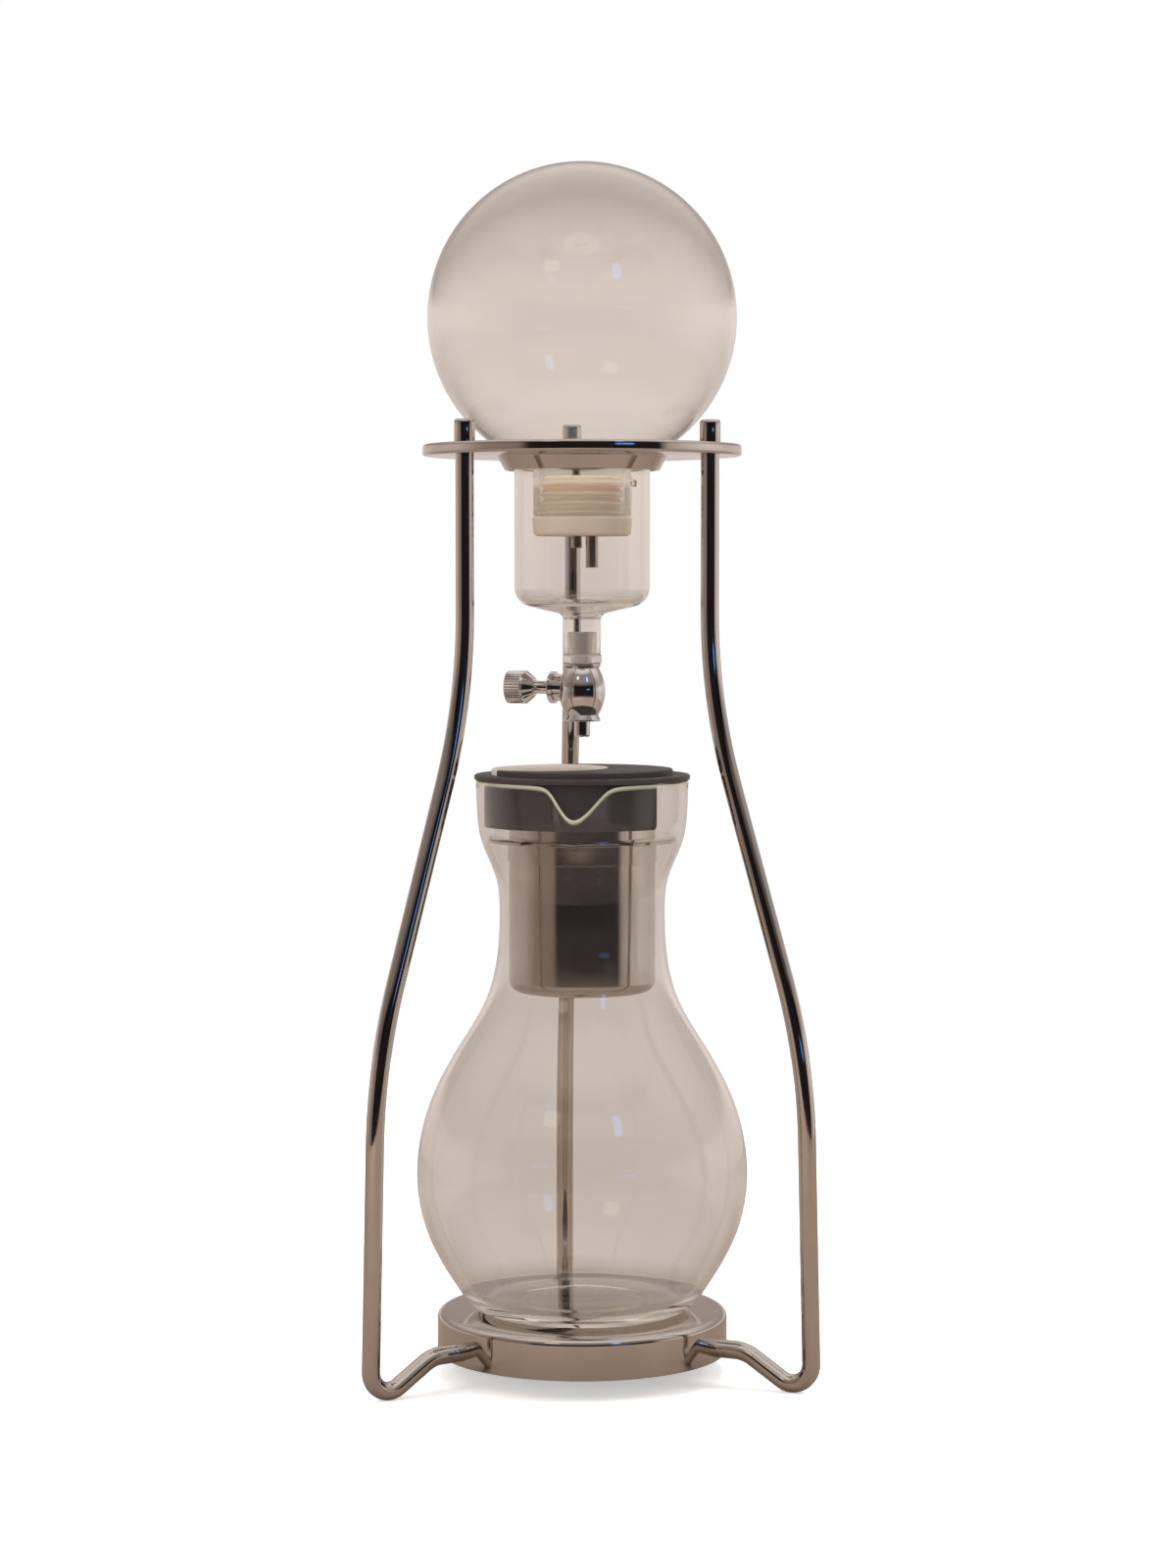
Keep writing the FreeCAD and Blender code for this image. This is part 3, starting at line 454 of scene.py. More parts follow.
def siliconeFinish(name, tone, clearness, milk, smooth, dull):
    # soft silicone that lets some light through, with a faint grain
    material, tree, shader = newMaterial(name)
    grain = placeGroup(tree, mouldGroup, Grain=silicone["grain"], Tone=(*tone, 1), Shade=silicone["shade"])
    tree.links.new(grain.outputs["Color"], shader.inputs["Base Color"])
    marks = placeGroup(tree, handlingGroup, Scale=silicone["patches"], Smooth=smooth, Dull=dull)
    tree.links.new(marks.outputs["Roughness"], shader.inputs["Roughness"])
    shader.inputs["Transmission Weight"].default_value = clearness
    shader.inputs["IOR"].default_value = silicone["index"]
    shader.inputs["Subsurface Weight"].default_value = milk
    shader.inputs["Subsurface Radius"].default_value = silicone["reach"]
    shader.inputs["Subsurface Scale"].default_value = 1.0
    roughen(tree, shader, grain.outputs["Height"], silicone["depth"])
    return material


def mouldedFinish(name, tone, grainSize, depth, shade=0.22):
    # a matt moulding with an etched grain
    material, tree, shader = newMaterial(name)
    grain = placeGroup(tree, mouldGroup, Grain=grainSize, Tone=(*tone, 1), Shade=shade)
    tree.links.new(grain.outputs["Color"], shader.inputs["Base Color"])
    tree.links.new(grain.outputs["Roughness"], shader.inputs["Roughness"])
    roughen(tree, shader, grain.outputs["Height"], depth)
    return material


finishes = {
    "stand_steel": metalFinish("standSteel", (0.59, 0.55, 0.515), 0.04, 0.11, 3e-7, turningGroup, 0.0005),
    "rod_steel": metalFinish("rodSteel", (0.59, 0.545, 0.505), 0.035, 0.09, 3e-7, drawnGroup, 0.0004),
    "tube_steel": metalFinish("tubeSteel", (0.52, 0.45, 0.385), 0.12, 0.26, 1e-6, drawnGroup, 0.0003),
    "tap_chrome": metalFinish("tapChrome", (0.70, 0.68, 0.67), 0.03, 0.10, 3e-7, turningGroup, 0.0004,
                             shade=0.05, patches=140.0),
    "basket_steel": metalFinish("basketSteel", (0.60, 0.55, 0.51), 0.05, 0.13, 5e-7, turningGroup, 0.0005),
    "clear_glass": glassFinish("clearGlass"),
    "milky_silicone": siliconeFinish("milkySilicone", (0.86, 0.76, 0.665), clearness=0.15, milk=0.8,
                                     smooth=0.3, dull=0.42),
    "clear_silicone": siliconeFinish("clearSilicone", (0.94, 0.90, 0.85), clearness=0.75, milk=0.5,
                                     smooth=0.08, dull=0.16),
    "lid_dark": mouldedFinish("lidDark", (0.036, 0.030, 0.029), grainSize=0.0004, depth=0.00003),
    "lid_light": mouldedFinish("lidLight", (0.56, 0.52, 0.48), grainSize=0.0004, depth=0.00002),
    "black_rubber": mouldedFinish("blackRubber", (0.03, 0.03, 0.03), grainSize=0.0003, depth=0.00001),
}
print("Finishes made:", len(finishes))


# Base

baseLow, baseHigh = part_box("base_shell")
base = {
    "radius": baseHigh[0], "bottom": baseLow[2], "top": baseHigh[2],
    "wall": 0.0015, "edge": 0.003, "footEdge": 0.0005, "plate": 0.0025, "plateGap": 0.00003, "sides": 128,
}


def makeBase():
    inner = base["radius"] - base["wall"]
    shell = turn("baseShell", roundOff([
        (0, base["top"]),
        (base["radius"], base["top"], base["edge"]),
        (base["radius"], base["bottom"], base["footEdge"]),
        (inner, base["bottom"]),
        (inner, base["top"] - base["wall"], base["edge"] - base["wall"]),
        (0, base["top"] - base["wall"]),
    ]), base["sides"])
    finishPiece(shell, "stand", "stand_steel", "base_shell")
    plateRadius = inner - base["plateGap"]
    plate = turn("basePlate", roundOff([
        (0, base["bottom"]),
        (plateRadius, base["bottom"], base["plateGap"]),
        (plateRadius, base["bottom"] + base["plate"], base["footEdge"]),
        (0, base["bottom"] + base["plate"]),
    ]), base["sides"])
    finishPiece(plate, "stand", "stand_steel", "base_plate")


makeBase()
print("Base made")


# Legs, their spacers and cap nuts

ringLow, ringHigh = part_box("ring_plate")
legs = {
    "angles": {"rear": 90, "left": 210, "right": 330},
    "rod": 0.00375, "topCircle": 0.0573, "top": ringHigh[2] - 0.00465,
    "shoulder": ringHigh[2] - 0.10365, "knee": 0.1365, "bend": 0.25,
    "footCircle": 0.0942, "footBend": 0.0085, "lean": math.radians(1.4),
    "rise": math.radians(32), "riseBend": 0.015, "entry": 0.015,
    "spacer": 0.0042, "spacerBore": 0.002, "spacerInset": 0.0006,
    "nutRadius": 0.00425, "nutHeight": 0.00935, "nutCrown": 0.0014, "nutEdge": 0.0003,
    "bendSteps": 18, "nutSides": 48, "spacerSides": 40,
}


def legPath():
    # down from the ring, out to the foot's bend, and back up to the side of the base
    centre = Vector((legs["footCircle"], legs["rod"] + legs["footBend"]))
    outward = Vector((math.cos(legs["lean"]), math.sin(legs["lean"])))
    under = Vector((-math.sin(legs["rise"]), -math.cos(legs["rise"])))
    corner = centre + (outward + under) * (legs["footBend"] / (1 + outward.dot(under)))
    kneeCircle = corner.x - (legs["knee"] - corner.y) * math.tan(legs["lean"])
    entryCircle = corner.x - (legs["entry"] - corner.y) / math.tan(legs["rise"])
    return roundOff([
        (legs["topCircle"], legs["top"]),
        (legs["topCircle"], legs["shoulder"], legs["bend"]),
        (kneeCircle, legs["knee"], legs["bend"]),
        (corner.x, corner.y, legs["footBend"]),
        (entryCircle, legs["entry"], legs["riseBend"]),
        (base["radius"] + legs["spacer"], legs["entry"]),
    ], steps=legs["bendSteps"])


def makeLegs():
    rod = bendRod("legStart", legPath(), legs["rod"])
    nutTop = ringHigh[2] + legs["nutHeight"]
    nut = turn("nutStart", roundOff([
        (0, ringHigh[2]),
        (legs["nutRadius"], ringHigh[2], legs["nutEdge"]),
        (legs["nutRadius"], nutTop, legs["nutCrown"]),
        (0, nutTop),
    ]), legs["nutSides"])
    settle(nut, (legs["topCircle"], 0, 0))
    inside = base["radius"] - legs["spacerInset"]
    outside = base["radius"] + legs["spacer"]
    spacer = turn("spacerStart", roundOff([
        (legs["spacerBore"], inside),
        (legs["rod"], inside),
        (legs["rod"], outside, legs["nutEdge"] / 2),
        (legs["spacerBore"], outside),
    ], closed=True), legs["spacerSides"])
    settle(spacer, (0, 0, legs["entry"]), (0, math.radians(90), 0))
    for side, angle in legs["angles"].items():
        turned = math.radians(angle)
        leg = copyTurned(rod, "leg" + side.capitalize(), turned)
        finishPiece(leg, "stand", "rod_steel", "leg_" + side)
        cap = copyTurned(nut, "capNut" + side.capitalize(), turned)
        finishPiece(cap, "stand", "rod_steel", "cap_nuts")
        sleeve = copyTurned(spacer, "legSpacer" + side.capitalize(), turned)
        finishPiece(sleeve, "stand", "rod_steel", "leg_spacers")
    for start in (rod, nut, spacer):
        bpy.data.objects.remove(start)


makeLegs()
print("Legs, spacers and cap nuts made")


# Ring with its cone collar

ring = {
    "radius": ringHigh[0], "top": ringHigh[2], "thick": 0.00465, "edge": 0.0012,
    "opening": 0.0365, "lip": 0.001, "collarBottom": ringLow[2], "collarRadius": 0.0306,
    "sheet": 0.001, "break": 0.0003, "sides": 144,
}


def makeRing():
    slope = (ring["opening"] - ring["collarRadius"]) / (ring["top"] - ring["collarBottom"])
    wall = ring["sheet"] / math.cos(math.atan(slope))
    underside = ring["top"] - ring["thick"]
    under = ring["collarRadius"] + wall + slope * (underside - ring["collarBottom"])
    plate = turn("ringPlate", roundOff([
        (ring["opening"], ring["top"], ring["lip"]),
        (ring["radius"], ring["top"], ring["edge"]),
        (ring["radius"], underside, ring["edge"]),
        (under, underside, ring["lip"]),
        (ring["collarRadius"] + wall, ring["collarBottom"], ring["break"]),
        (ring["collarRadius"], ring["collarBottom"], ring["break"]),
    ], closed=True, steps=10), ring["sides"])
    finishPiece(plate, "stand", "stand_steel", "ring_plate")


makeRing()
print("Ring made")


# Water globe

globeLow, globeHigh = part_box("water_globe")
globe = {
    "radius": globeHigh[0], "centre": globeHigh[2] - globeHigh[0], "wall": 0.002,
    "neck": 0.0202, "neckWall": 0.0026, "neckEnd": globeLow[2], "blend": 0.0035, "sides": 128,
}


def ballAndNeck(side, ball, blend, neckEnd):
    # from the top of the ball round to its neck, with a rounded corner between them
    blendRadius = side + blend
    blendHeight = globe["centre"] - math.sqrt((ball + blend) ** 2 - blendRadius ** 2)
    meeting = math.atan2(blendHeight - globe["centre"], blendRadius)
    path = arcBetween((0, globe["centre"]), ball, math.pi / 2, meeting, steps=56)
    path += arcBetween((blendRadius, blendHeight), blend, meeting + math.pi, math.pi, steps=8)[1:]
    return path + [Vector((side, neckEnd))]


def makeGlobe():
    edge = globe["neckWall"] / 2
    bore = globe["neck"] - globe["neckWall"]
    neckEnd = globe["neckEnd"] + edge
    outside = ballAndNeck(globe["neck"], globe["radius"], globe["blend"], neckEnd)
    inside = ballAndNeck(bore, globe["radius"] - globe["wall"], globe["blend"] + globe["wall"], neckEnd)
    rim = arcBetween((bore + edge, neckEnd), edge, 0, -math.pi, steps=8)[1:-1]
    ball = turn("waterGlobe", outside + rim + inside[::-1], globe["sides"])
    finishPiece(ball, "globe", "clear_glass", "water_globe")


makeGlobe()
print("Water globe made")


# Drip cup

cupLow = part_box("drip_cup")[0]
cup = {
    "radius": 0.0279, "wall": 0.002, "lipRadius": 0.0332, "lipAngle": math.radians(34), "lipBend": 0.006,
    "lipEdge": 0.0009, "lipHeight": 0.379415, "floor": cupLow[2] + 0.0211, "slope": math.radians(13.5),
    "corner": 0.008, "outlet": 0.0077, "outletWall": 0.0013, "outletEnd": cupLow[2], "outletBlend": 0.003,
    "outletEdge": 0.0004, "airHole": 0.0016, "airHoleDrop": 0.0108, "airHoleAngle": math.radians(-44.5),
    "sides": 112, "airHoleSides": 40,
}


def makeCup():
    inner = cup["radius"] - cup["wall"]
    bore = cup["outlet"] - cup["outletWall"]
    slope = math.tan(cup["slope"])
    flare = math.tan(cup["lipAngle"])
    floorInside = cup["floor"] - cup["wall"] * slope + cup["wall"] / math.cos(cup["slope"])
    lipInRadius = cup["lipRadius"] - cup["wall"] * math.sin(cup["lipAngle"])
    lipInHeight = cup["lipHeight"] + cup["wall"] * math.cos(cup["lipAngle"])
    wallTop = cup["lipHeight"] - (cup["lipRadius"] - cup["radius"]) * flare
    glass = turn("dripCup", roundOff([
        (cup["outlet"], cup["outletEnd"], cup["outletEdge"]),
        (cup["outlet"], cup["floor"] - (cup["radius"] - cup["outlet"]) * slope, cup["outletBlend"]),
        (cup["radius"], cup["floor"], cup["corner"]),
        (cup["radius"], wallTop, cup["lipBend"]),
        (cup["lipRadius"], cup["lipHeight"], cup["lipEdge"]),
        (lipInRadius, lipInHeight, cup["lipEdge"]),
        (inner, lipInHeight - (lipInRadius - inner) * flare, cup["lipBend"] + cup["wall"]),
        (inner, floorInside, cup["corner"] - cup["wall"]),
        (bore, floorInside - (inner - bore) * slope, cup["outletBlend"] + cup["outletWall"]),
        (bore, cup["outletEnd"], cup["outletEdge"]),
    ], closed=True, steps=9), cup["sides"])
    drill = addCylinder("airHoleDrill", cup["airHole"], cup["radius"] / 2, cup["radius"] + cup["wall"],
                        segments=cup["airHoleSides"])
    settle(drill, (0, 0, cup["lipHeight"] - cup["airHoleDrop"]), (0, math.radians(90), 0))
    settle(drill, tilt=(0, 0, cup["airHoleAngle"]))
    combine(glass, drill, "DIFFERENCE")
    finishPiece(glass, "cup", "clear_glass", "drip_cup")


makeCup()
print("Drip cup made")


# Stopper in the globe's neck, with its two tubes

plugLow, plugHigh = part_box("globe_plug")
stopper = {
    "bottom": plugLow[2], "top": plugHigh[2], "flange": plugHigh[0], "flangeTop": globeLow[2],
    "taper": 0.0008, "flangeEdge": 0.002, "core": 0.0159, "rib": 0.0173, "ribs": 4, "ribPitch": 0.0039,
    "ribStart": 0.0012, "ribRise": 0.0005, "ribLand": 0.0007, "ribFall": 0.0012, "edge": 0.0003,
    "tubeWall": 0.0004, "feedPlace": (0.0039, -0.0014), "feedRadius": 0.0026,
    "airPlace": (-0.0021, 0.0019), "airRadius": 0.0023, "drillReach": 0.001,
    "sides": 96, "tubeSides": 48,
}


def makeStopper():
    corners = [
        (0, stopper["bottom"]),
        (stopper["flange"] - stopper["taper"], stopper["bottom"], stopper["flangeEdge"]),
        (stopper["flange"], stopper["flangeTop"], 2 * stopper["edge"]),
        (stopper["core"], stopper["flangeTop"], stopper["edge"] / 2),
    ]
    for rib in range(stopper["ribs"]):
        low = stopper["flangeTop"] + stopper["ribStart"] + rib * stopper["ribPitch"]
        landStart = low + stopper["ribRise"]
        landEnd = landStart + stopper["ribLand"]
        corners.append((stopper["core"], low, stopper["edge"] / 2))
        corners.append((stopper["rib"], landStart, stopper["edge"]))
        corners.append((stopper["rib"], landEnd, stopper["edge"]))
        corners.append((stopper["core"], landEnd + stopper["ribFall"], stopper["edge"]))
    corners.append((stopper["core"], stopper["top"], stopper["taper"]))
    corners.append((0, stopper["top"]))
    plug = turn("globePlug", roundOff(corners, steps=5), stopper["sides"])
    for name, node, place, radius in (
        ("feedTube", "feed_tube", stopper["feedPlace"], stopper["feedRadius"]),
        ("airTube", "air_tube", stopper["airPlace"], stopper["airRadius"]),
    ):
        low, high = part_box(node)
        drill = addCylinder("tubeDrill", radius, stopper["bottom"] - stopper["drillReach"],
                            stopper["top"] + stopper["drillReach"], place, stopper["tubeSides"])
        combine(plug, drill, "DIFFERENCE")
        tube = turn(name, roundOff([
            (radius - stopper["tubeWall"], low[2]),
            (radius, low[2], stopper["edge"] / 2),
            (radius, high[2], stopper["edge"] / 2),
            (radius - stopper["tubeWall"], high[2]),
        ], closed=True), stopper["tubeSides"])
        settle(tube, (place[0], place[1], 0))
        finishPiece(tube, "stopper", "tube_steel", node)
    finishPiece(plug, "stopper", "milky_silicone", "globe_plug")


makeStopper()
print("Stopper and tubes made")


# Tap: silicone sleeve, grooved inlet, barrel with its side valve, nozzle

tapLow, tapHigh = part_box("tap_body")
tap = {
    "top": tapHigh[2], "bottom": tapLow[2],
    "sleeveFlange": 0.0081, "sleeveInsert": 0.0061, "sleeveBore": 0.0041, "sleeveEdge": 0.001,
    "inlet": 0.004, "inletBore": 0.0016, "inletThread": 0.0032, "inletGrooves": 3, "grooveStart": 0.003,
    "grooveDepth": 0.0005, "grooveBevel": 0.0003, "grooveLand": 0.0007,
    "collar": 0.0077, "collarEdge": 0.0003, "collarSide": 0.0009, "waist": 0.0069, "waistDrop": 0.0019,
    "bulb": 0.0095, "bulbDrop": 0.0098, "footWaist": 0.0067, "footHeight": 0.0026, "foot": 0.0076,
    "nozzle": 0.0033, "nozzleBore": 0.001, "nozzleMouth": 0.0016, "nozzleEdge": 0.0009,
    "valveAngle": math.radians(157.5), "valveDrop": 0.0099, "boss": 0.0055,
    "bossStart": 0.001, "bossReach": 0.0114,
    "bonnet": 0.0066, "bonnetThick": 0.0023, "stem": 0.0027, "stemGap": 0.00006, "stemDepth": 0.003,
    "knobStart": 0.0206, "knobLength": 0.0118, "knob": 0.0068, "knobCone": 0.0039, "coneLength": 0.0036,
    "band": 0.001, "teeth": 36, "toothDepth": 0.00045, "toothFlank": 0.3, "knobEdge": 0.0007,
    "sides": 72, "bodySides": 112, "pipeSides": 56, "stemSides": 48,
}


def arcThrough(start, middle, end, steps):
    # the arc through three points of an outline
    a, b, c = Vector(start), Vector(middle), Vector(end)
    turned = Matrix(((b - a), (c - b)))
    half = Vector((((b - a).dot(a + b)) / 2, ((c - b).dot(b + c)) / 2))
    centre = turned.inverted() @ half
    fromAngle = math.atan2(a.y - centre.y, a.x - centre.x)
    toAngle = math.atan2(c.y - centre.y, c.x - centre.x)
    return arcBetween(centre, (a - centre).length, fromAngle, toAngle, steps)


def layOnValve(piece):
    settle(piece, (0, 0, tap["top"] - tap["valveDrop"]), (0, math.radians(90), 0))
    return settle(piece, tilt=(0, 0, tap["valveAngle"]))


def makeSleeveAndInlet():
    low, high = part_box("tap_sleeve")
    sleeve = turn("tapSleeve", roundOff([
        (tap["sleeveBore"], low[2]),
        (tap["sleeveFlange"], low[2], tap["sleeveEdge"]),
        (tap["sleeveFlange"], cup["outletEnd"], tap["sleeveEdge"]),
        (tap["sleeveInsert"], cup["outletEnd"], tap["collarEdge"] / 2),
        (tap["sleeveInsert"], high[2], tap["sleeveEdge"]),
        (tap["sleeveBore"], high[2], tap["collarEdge"]),
    ], closed=True), tap["sides"])
    finishPiece(sleeve, "sleeve", "milky_silicone", "tap_sleeve", finishes["clear_silicone"])
    low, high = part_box("tap_inlet")
    pitch = (high[2] - tap["top"] - tap["grooveStart"]) / tap["inletGrooves"]
    corners = [(tap["inletBore"], low[2]), (tap["inletThread"], low[2]), (tap["inletThread"], tap["top"]),
               (tap["inlet"], tap["top"])]
    for groove in range(tap["inletGrooves"]):
        start = tap["top"] + tap["grooveStart"] + groove * pitch
        end = start + tap["grooveLand"] + 2 * tap["grooveBevel"]
        corners.append((tap["inlet"], start))
        corners.append((tap["inlet"] - tap["grooveDepth"], start + tap["grooveBevel"]))
        corners.append((tap["inlet"] - tap["grooveDepth"], end - tap["grooveBevel"]))
        corners.append((tap["inlet"], end))
    corners.append((tap["inlet"], high[2], tap["collarEdge"]))
    corners.append((tap["inletBore"], high[2]))
    inlet = turn("tapInlet", roundOff(corners, closed=True, steps=4), tap["pipeSides"])
    finishPiece(inlet, "tap", "tap_chrome", "tap_inlet")


def makeBarrel():
    bulb = (tap["bulb"], tap["top"] - tap["bulbDrop"])
    waist = (tap["waist"], tap["top"] - tap["waistDrop"])
    footWaist = (tap["footWaist"], tap["bottom"] + tap["footHeight"])
    path = roundOff([
        (0, tap["top"]),
        (tap["collar"], tap["top"], tap["collarEdge"]),
        (tap["collar"] - tap["collarEdge"] / 3, tap["top"] - tap["collarSide"], tap["collarEdge"] / 2),
        waist,
    ])[:-1]
    path += arcThrough(waist, bulb, footWaist, steps=26)
    path += roundOff([
        footWaist,
        (tap["foot"], tap["bottom"] + tap["collarEdge"] * 2, tap["collarEdge"] / 2),
        (tap["foot"], tap["bottom"], tap["collarEdge"]),
        (0, tap["bottom"]),
    ])[1:]
    barrel = turn("tapBody", path, tap["bodySides"])
    boss = addCylinder("valveBoss", tap["boss"], tap["bossStart"], tap["bossReach"], segments=tap["sides"])
    combine(barrel, layOnValve(boss), "UNION")
    drill = addCylinder("stemDrill", tap["stem"] + tap["stemGap"], tap["bossReach"] - tap["stemDepth"],
                        tap["bossReach"] + tap["stemDepth"])
    combine(barrel, layOnValve(drill), "DIFFERENCE")
    finishPiece(barrel, "tap", "tap_chrome", "tap_body")
    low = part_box("tap_nozzle")[0]
    nozzle = turn("tapNozzle", roundOff([
        (tap["nozzleBore"], low[2] + tap["collarEdge"]),
        (tap["nozzleMouth"], low[2], tap["collarEdge"] / 3),
        (tap["nozzle"], low[2], tap["nozzleEdge"]),
        (tap["nozzle"], tap["bottom"]),
        (tap["nozzleBore"], tap["bottom"]),
    ], closed=True), tap["pipeSides"])
    finishPiece(nozzle, "tap", "tap_chrome", "tap_nozzle")


def makeValve():
    bonnetEnd = tap["bossReach"] + tap["bonnetThick"]
    bonnet = turn("tapBonnet", roundOff([
        (tap["stem"], tap["bossReach"]),
        (tap["bonnet"], tap["bossReach"], tap["collarEdge"]),
        (tap["bonnet"], bonnetEnd, tap["collarEdge"] * 1.5),
        (tap["stem"], bonnetEnd, tap["collarEdge"] / 3),
    ], closed=True), tap["sides"])
    finishPiece(layOnValve(bonnet), "tap", "tap_chrome", "tap_bonnet")
    stem = turn("spindle", roundOff([
        (0, tap["bossReach"] - tap["bonnetThick"]),
        (tap["stem"], tap["bossReach"] - tap["bonnetThick"], tap["collarEdge"]),
        (tap["stem"], tap["knobStart"]),
        (0, tap["knobStart"]),
    ]), tap["stemSides"])
    finishPiece(layOnValve(stem), "valve_stem", "tap_chrome", "spindle")
    end = tap["knobStart"] + tap["knobLength"]
    bandStart = tap["knobStart"] + tap["coneLength"]
    knurlStart = bandStart + tap["band"]
    path = roundOff([
        (0, tap["knobStart"]),
        (tap["knobCone"], tap["knobStart"], tap["collarEdge"]),
        (tap["knob"], bandStart, tap["collarEdge"] * 2),
        (tap["knob"], knurlStart),
        (tap["knob"], knurlStart + tap["collarEdge"]),
        (tap["knob"], end, tap["knobEdge"]),
        (tap["knob"] - tap["knobEdge"] * 2, end, tap["collarEdge"]),
        (0, end - tap["collarEdge"]),
    ])
    columns = tap["teeth"] * 4
    knob = turn("knob", path, columns)
    # every fourth column of points is a groove of the knurl, and the ones beside it are drawn in a little
    for column, depth in ((0, 1.0), (1, tap["toothFlank"]), (3, tap["toothFlank"])):
        pickNothing(knob, "VERT")
        for point in knob.data.vertices:
            outward = math.hypot(point.co.x, point.co.y)
            turned = round(math.atan2(point.co.y, point.co.x) / fullTurn * columns)
            inBand = point.co.z > knurlStart + tap["collarEdge"] / 2
            atSide = outward > tap["knob"] - tap["knobEdge"]
            point.select = inBand and atSide and turned % 4 == column
        bpy.ops.object.mode_set(mode="EDIT")
        shrink = 1 - depth * tap["toothDepth"] / tap["knob"]
        bpy.ops.transform.resize(value=(shrink, shrink, 1), center_override=(0, 0, 0))
        bpy.ops.object.mode_set(mode="OBJECT")
    bpy.ops.object.shade_smooth_by_angle(angle=smoothLimit)
    finishPiece(layOnValve(knob), "valve_stem", "tap_chrome", "knob")


makeSleeveAndInlet()
makeBarrel()
makeValve()
print("Tap made")


# Carafe with its pinched spout

carafeLow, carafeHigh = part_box("carafe")
carafe = {
    # it stands a hair above the base, so that light can pass between them
    "bottom": carafeLow[2] + 0.00005,
    "rim": carafeHigh[2], "rimRadius": 0.044, "rimEdge": 0.0009, "wall": 0.0022,
    # outer radius and height above the base, from the neck down over the belly
    "side": [(0.0438, 0.2165), (0.0434, 0.207), (0.042, 0.197), (0.0386, 0.188), (0.0354, 0.1795),
             (0.0342, 0.166), (0.035, 0.149), (0.0399, 0.1294), (0.0509, 0.1103), (0.0619, 0.09),
             (0.0676, 0.07), (0.0687, 0.055), (0.0637, 0.031), (0.0496, 0.0065)],
    "heel": 0.044, "heelBend": 0.013, "foot": 0.0295, "floor": 0.004, "crown": 0.001, "floorBend": 0.008,
    "punt": 0.0016, "puntSlope": 0.004, "puntBend": 0.003,
    "spoutAngle": math.radians(-98.5), "spoutReach": 0.051, "spoutDepth": 0.0136, "spoutLength": 0.034,
    "spoutLeft": 0.0104, "spoutRight": 0.0133, "spoutBottom": 0.006, "spoutShoulder": 0.36,
    # the painted rim light along the mouth: how far below the edge it fades out, how far it stays full, its
    # pale tone and its greatest share
    "rimLightBand": 0.002, "rimLightFull": 0.0008, "rimLightTone": (0.78, 0.77, 0.60, 1), "rimLightMost": 0.38,
    "sides": 240,
}


def smoothThrough(points, steps):
    # one curve through the points whose bend changes without a jump
    spots = np.array(points)
    gaps = np.linalg.norm(np.diff(spots, axis=0), axis=1)
    count = len(spots)
    system = np.eye(count)
    wanted = np.zeros((count, 2))
    for i in range(1, count - 1):
        system[i, i - 1:i + 2] = gaps[i - 1], 2 * (gaps[i - 1] + gaps[i]), gaps[i]
        wanted[i] = 6 * ((spots[i + 1] - spots[i]) / gaps[i] - (spots[i] - spots[i - 1]) / gaps[i - 1])
    bends = np.linalg.solve(system, wanted)
    path = []
    for i in range(count - 1):
        gap = gaps[i]
        for step in range(steps):
            ahead = gap * step / steps
            left = gap - ahead
            path.append((bends[i] * left ** 3 + bends[i + 1] * ahead ** 3) / (6 * gap)
                        + (spots[i] / gap - bends[i] * gap / 6) * left
                        + (spots[i + 1] / gap - bends[i + 1] * gap / 6) * ahead)
    return [Vector(spot) for spot in path + [spots[-1]]]


def moveInwards(path, distance):
    # the inside of a wall whose outside is the path, drawn downwards
    moved = []
    for i, here in enumerate(path):
        along = (path[min(i + 1, len(path) - 1)] - path[max(i - 1, 0)]).normalized()
        moved.append(here + Vector((along.y, -along.x)) * distance)
    return moved


def spoutShare(offset):
    # how far the rim is pinched at a distance beside the spout: a V with a round bottom and round shoulders
    half = carafe["spoutLeft"] if offset < 0 else carafe["spoutRight"]
    bottom = carafe["spoutBottom"]
    shoulder = carafe["spoutShoulder"]
    share = 1 - (math.hypot(offset, bottom) - bottom) / (math.hypot(half, bottom) - bottom)
    return (share + math.hypot(share, shoulder)) / (1 + math.hypot(1, shoulder))


def spoutWays():
    ahead = Vector((math.cos(carafe["spoutAngle"]), math.sin(carafe["spoutAngle"]), 0))
    return ahead, Vector((-ahead.y, ahead.x, 0))


def pinchSpout(glass):
    ahead, beside = spoutWays()
    root = carafe["rim"] - carafe["spoutLength"]
    for point in glass.data.vertices:
        height = (point.co.z - root) / carafe["spoutLength"]
        forward = point.co.dot(ahead)
        if height <= 0 or forward <= 0:
            continue
        rise = height * height * (3 - 2 * height)
        share = spoutShare(point.co.dot(beside)) * rise
        point.co += ahead * (carafe["spoutReach"] - carafe["rimRadius"]) * share
        point.co.z -= carafe["spoutDepth"] * share


def longSide(tree, first, second):
    # the long side of a right triangle whose second side is a fixed length
    return maths(tree, "SQRT", maths(tree, "ADD", maths(tree, "MULTIPLY", first, first), second ** 2))


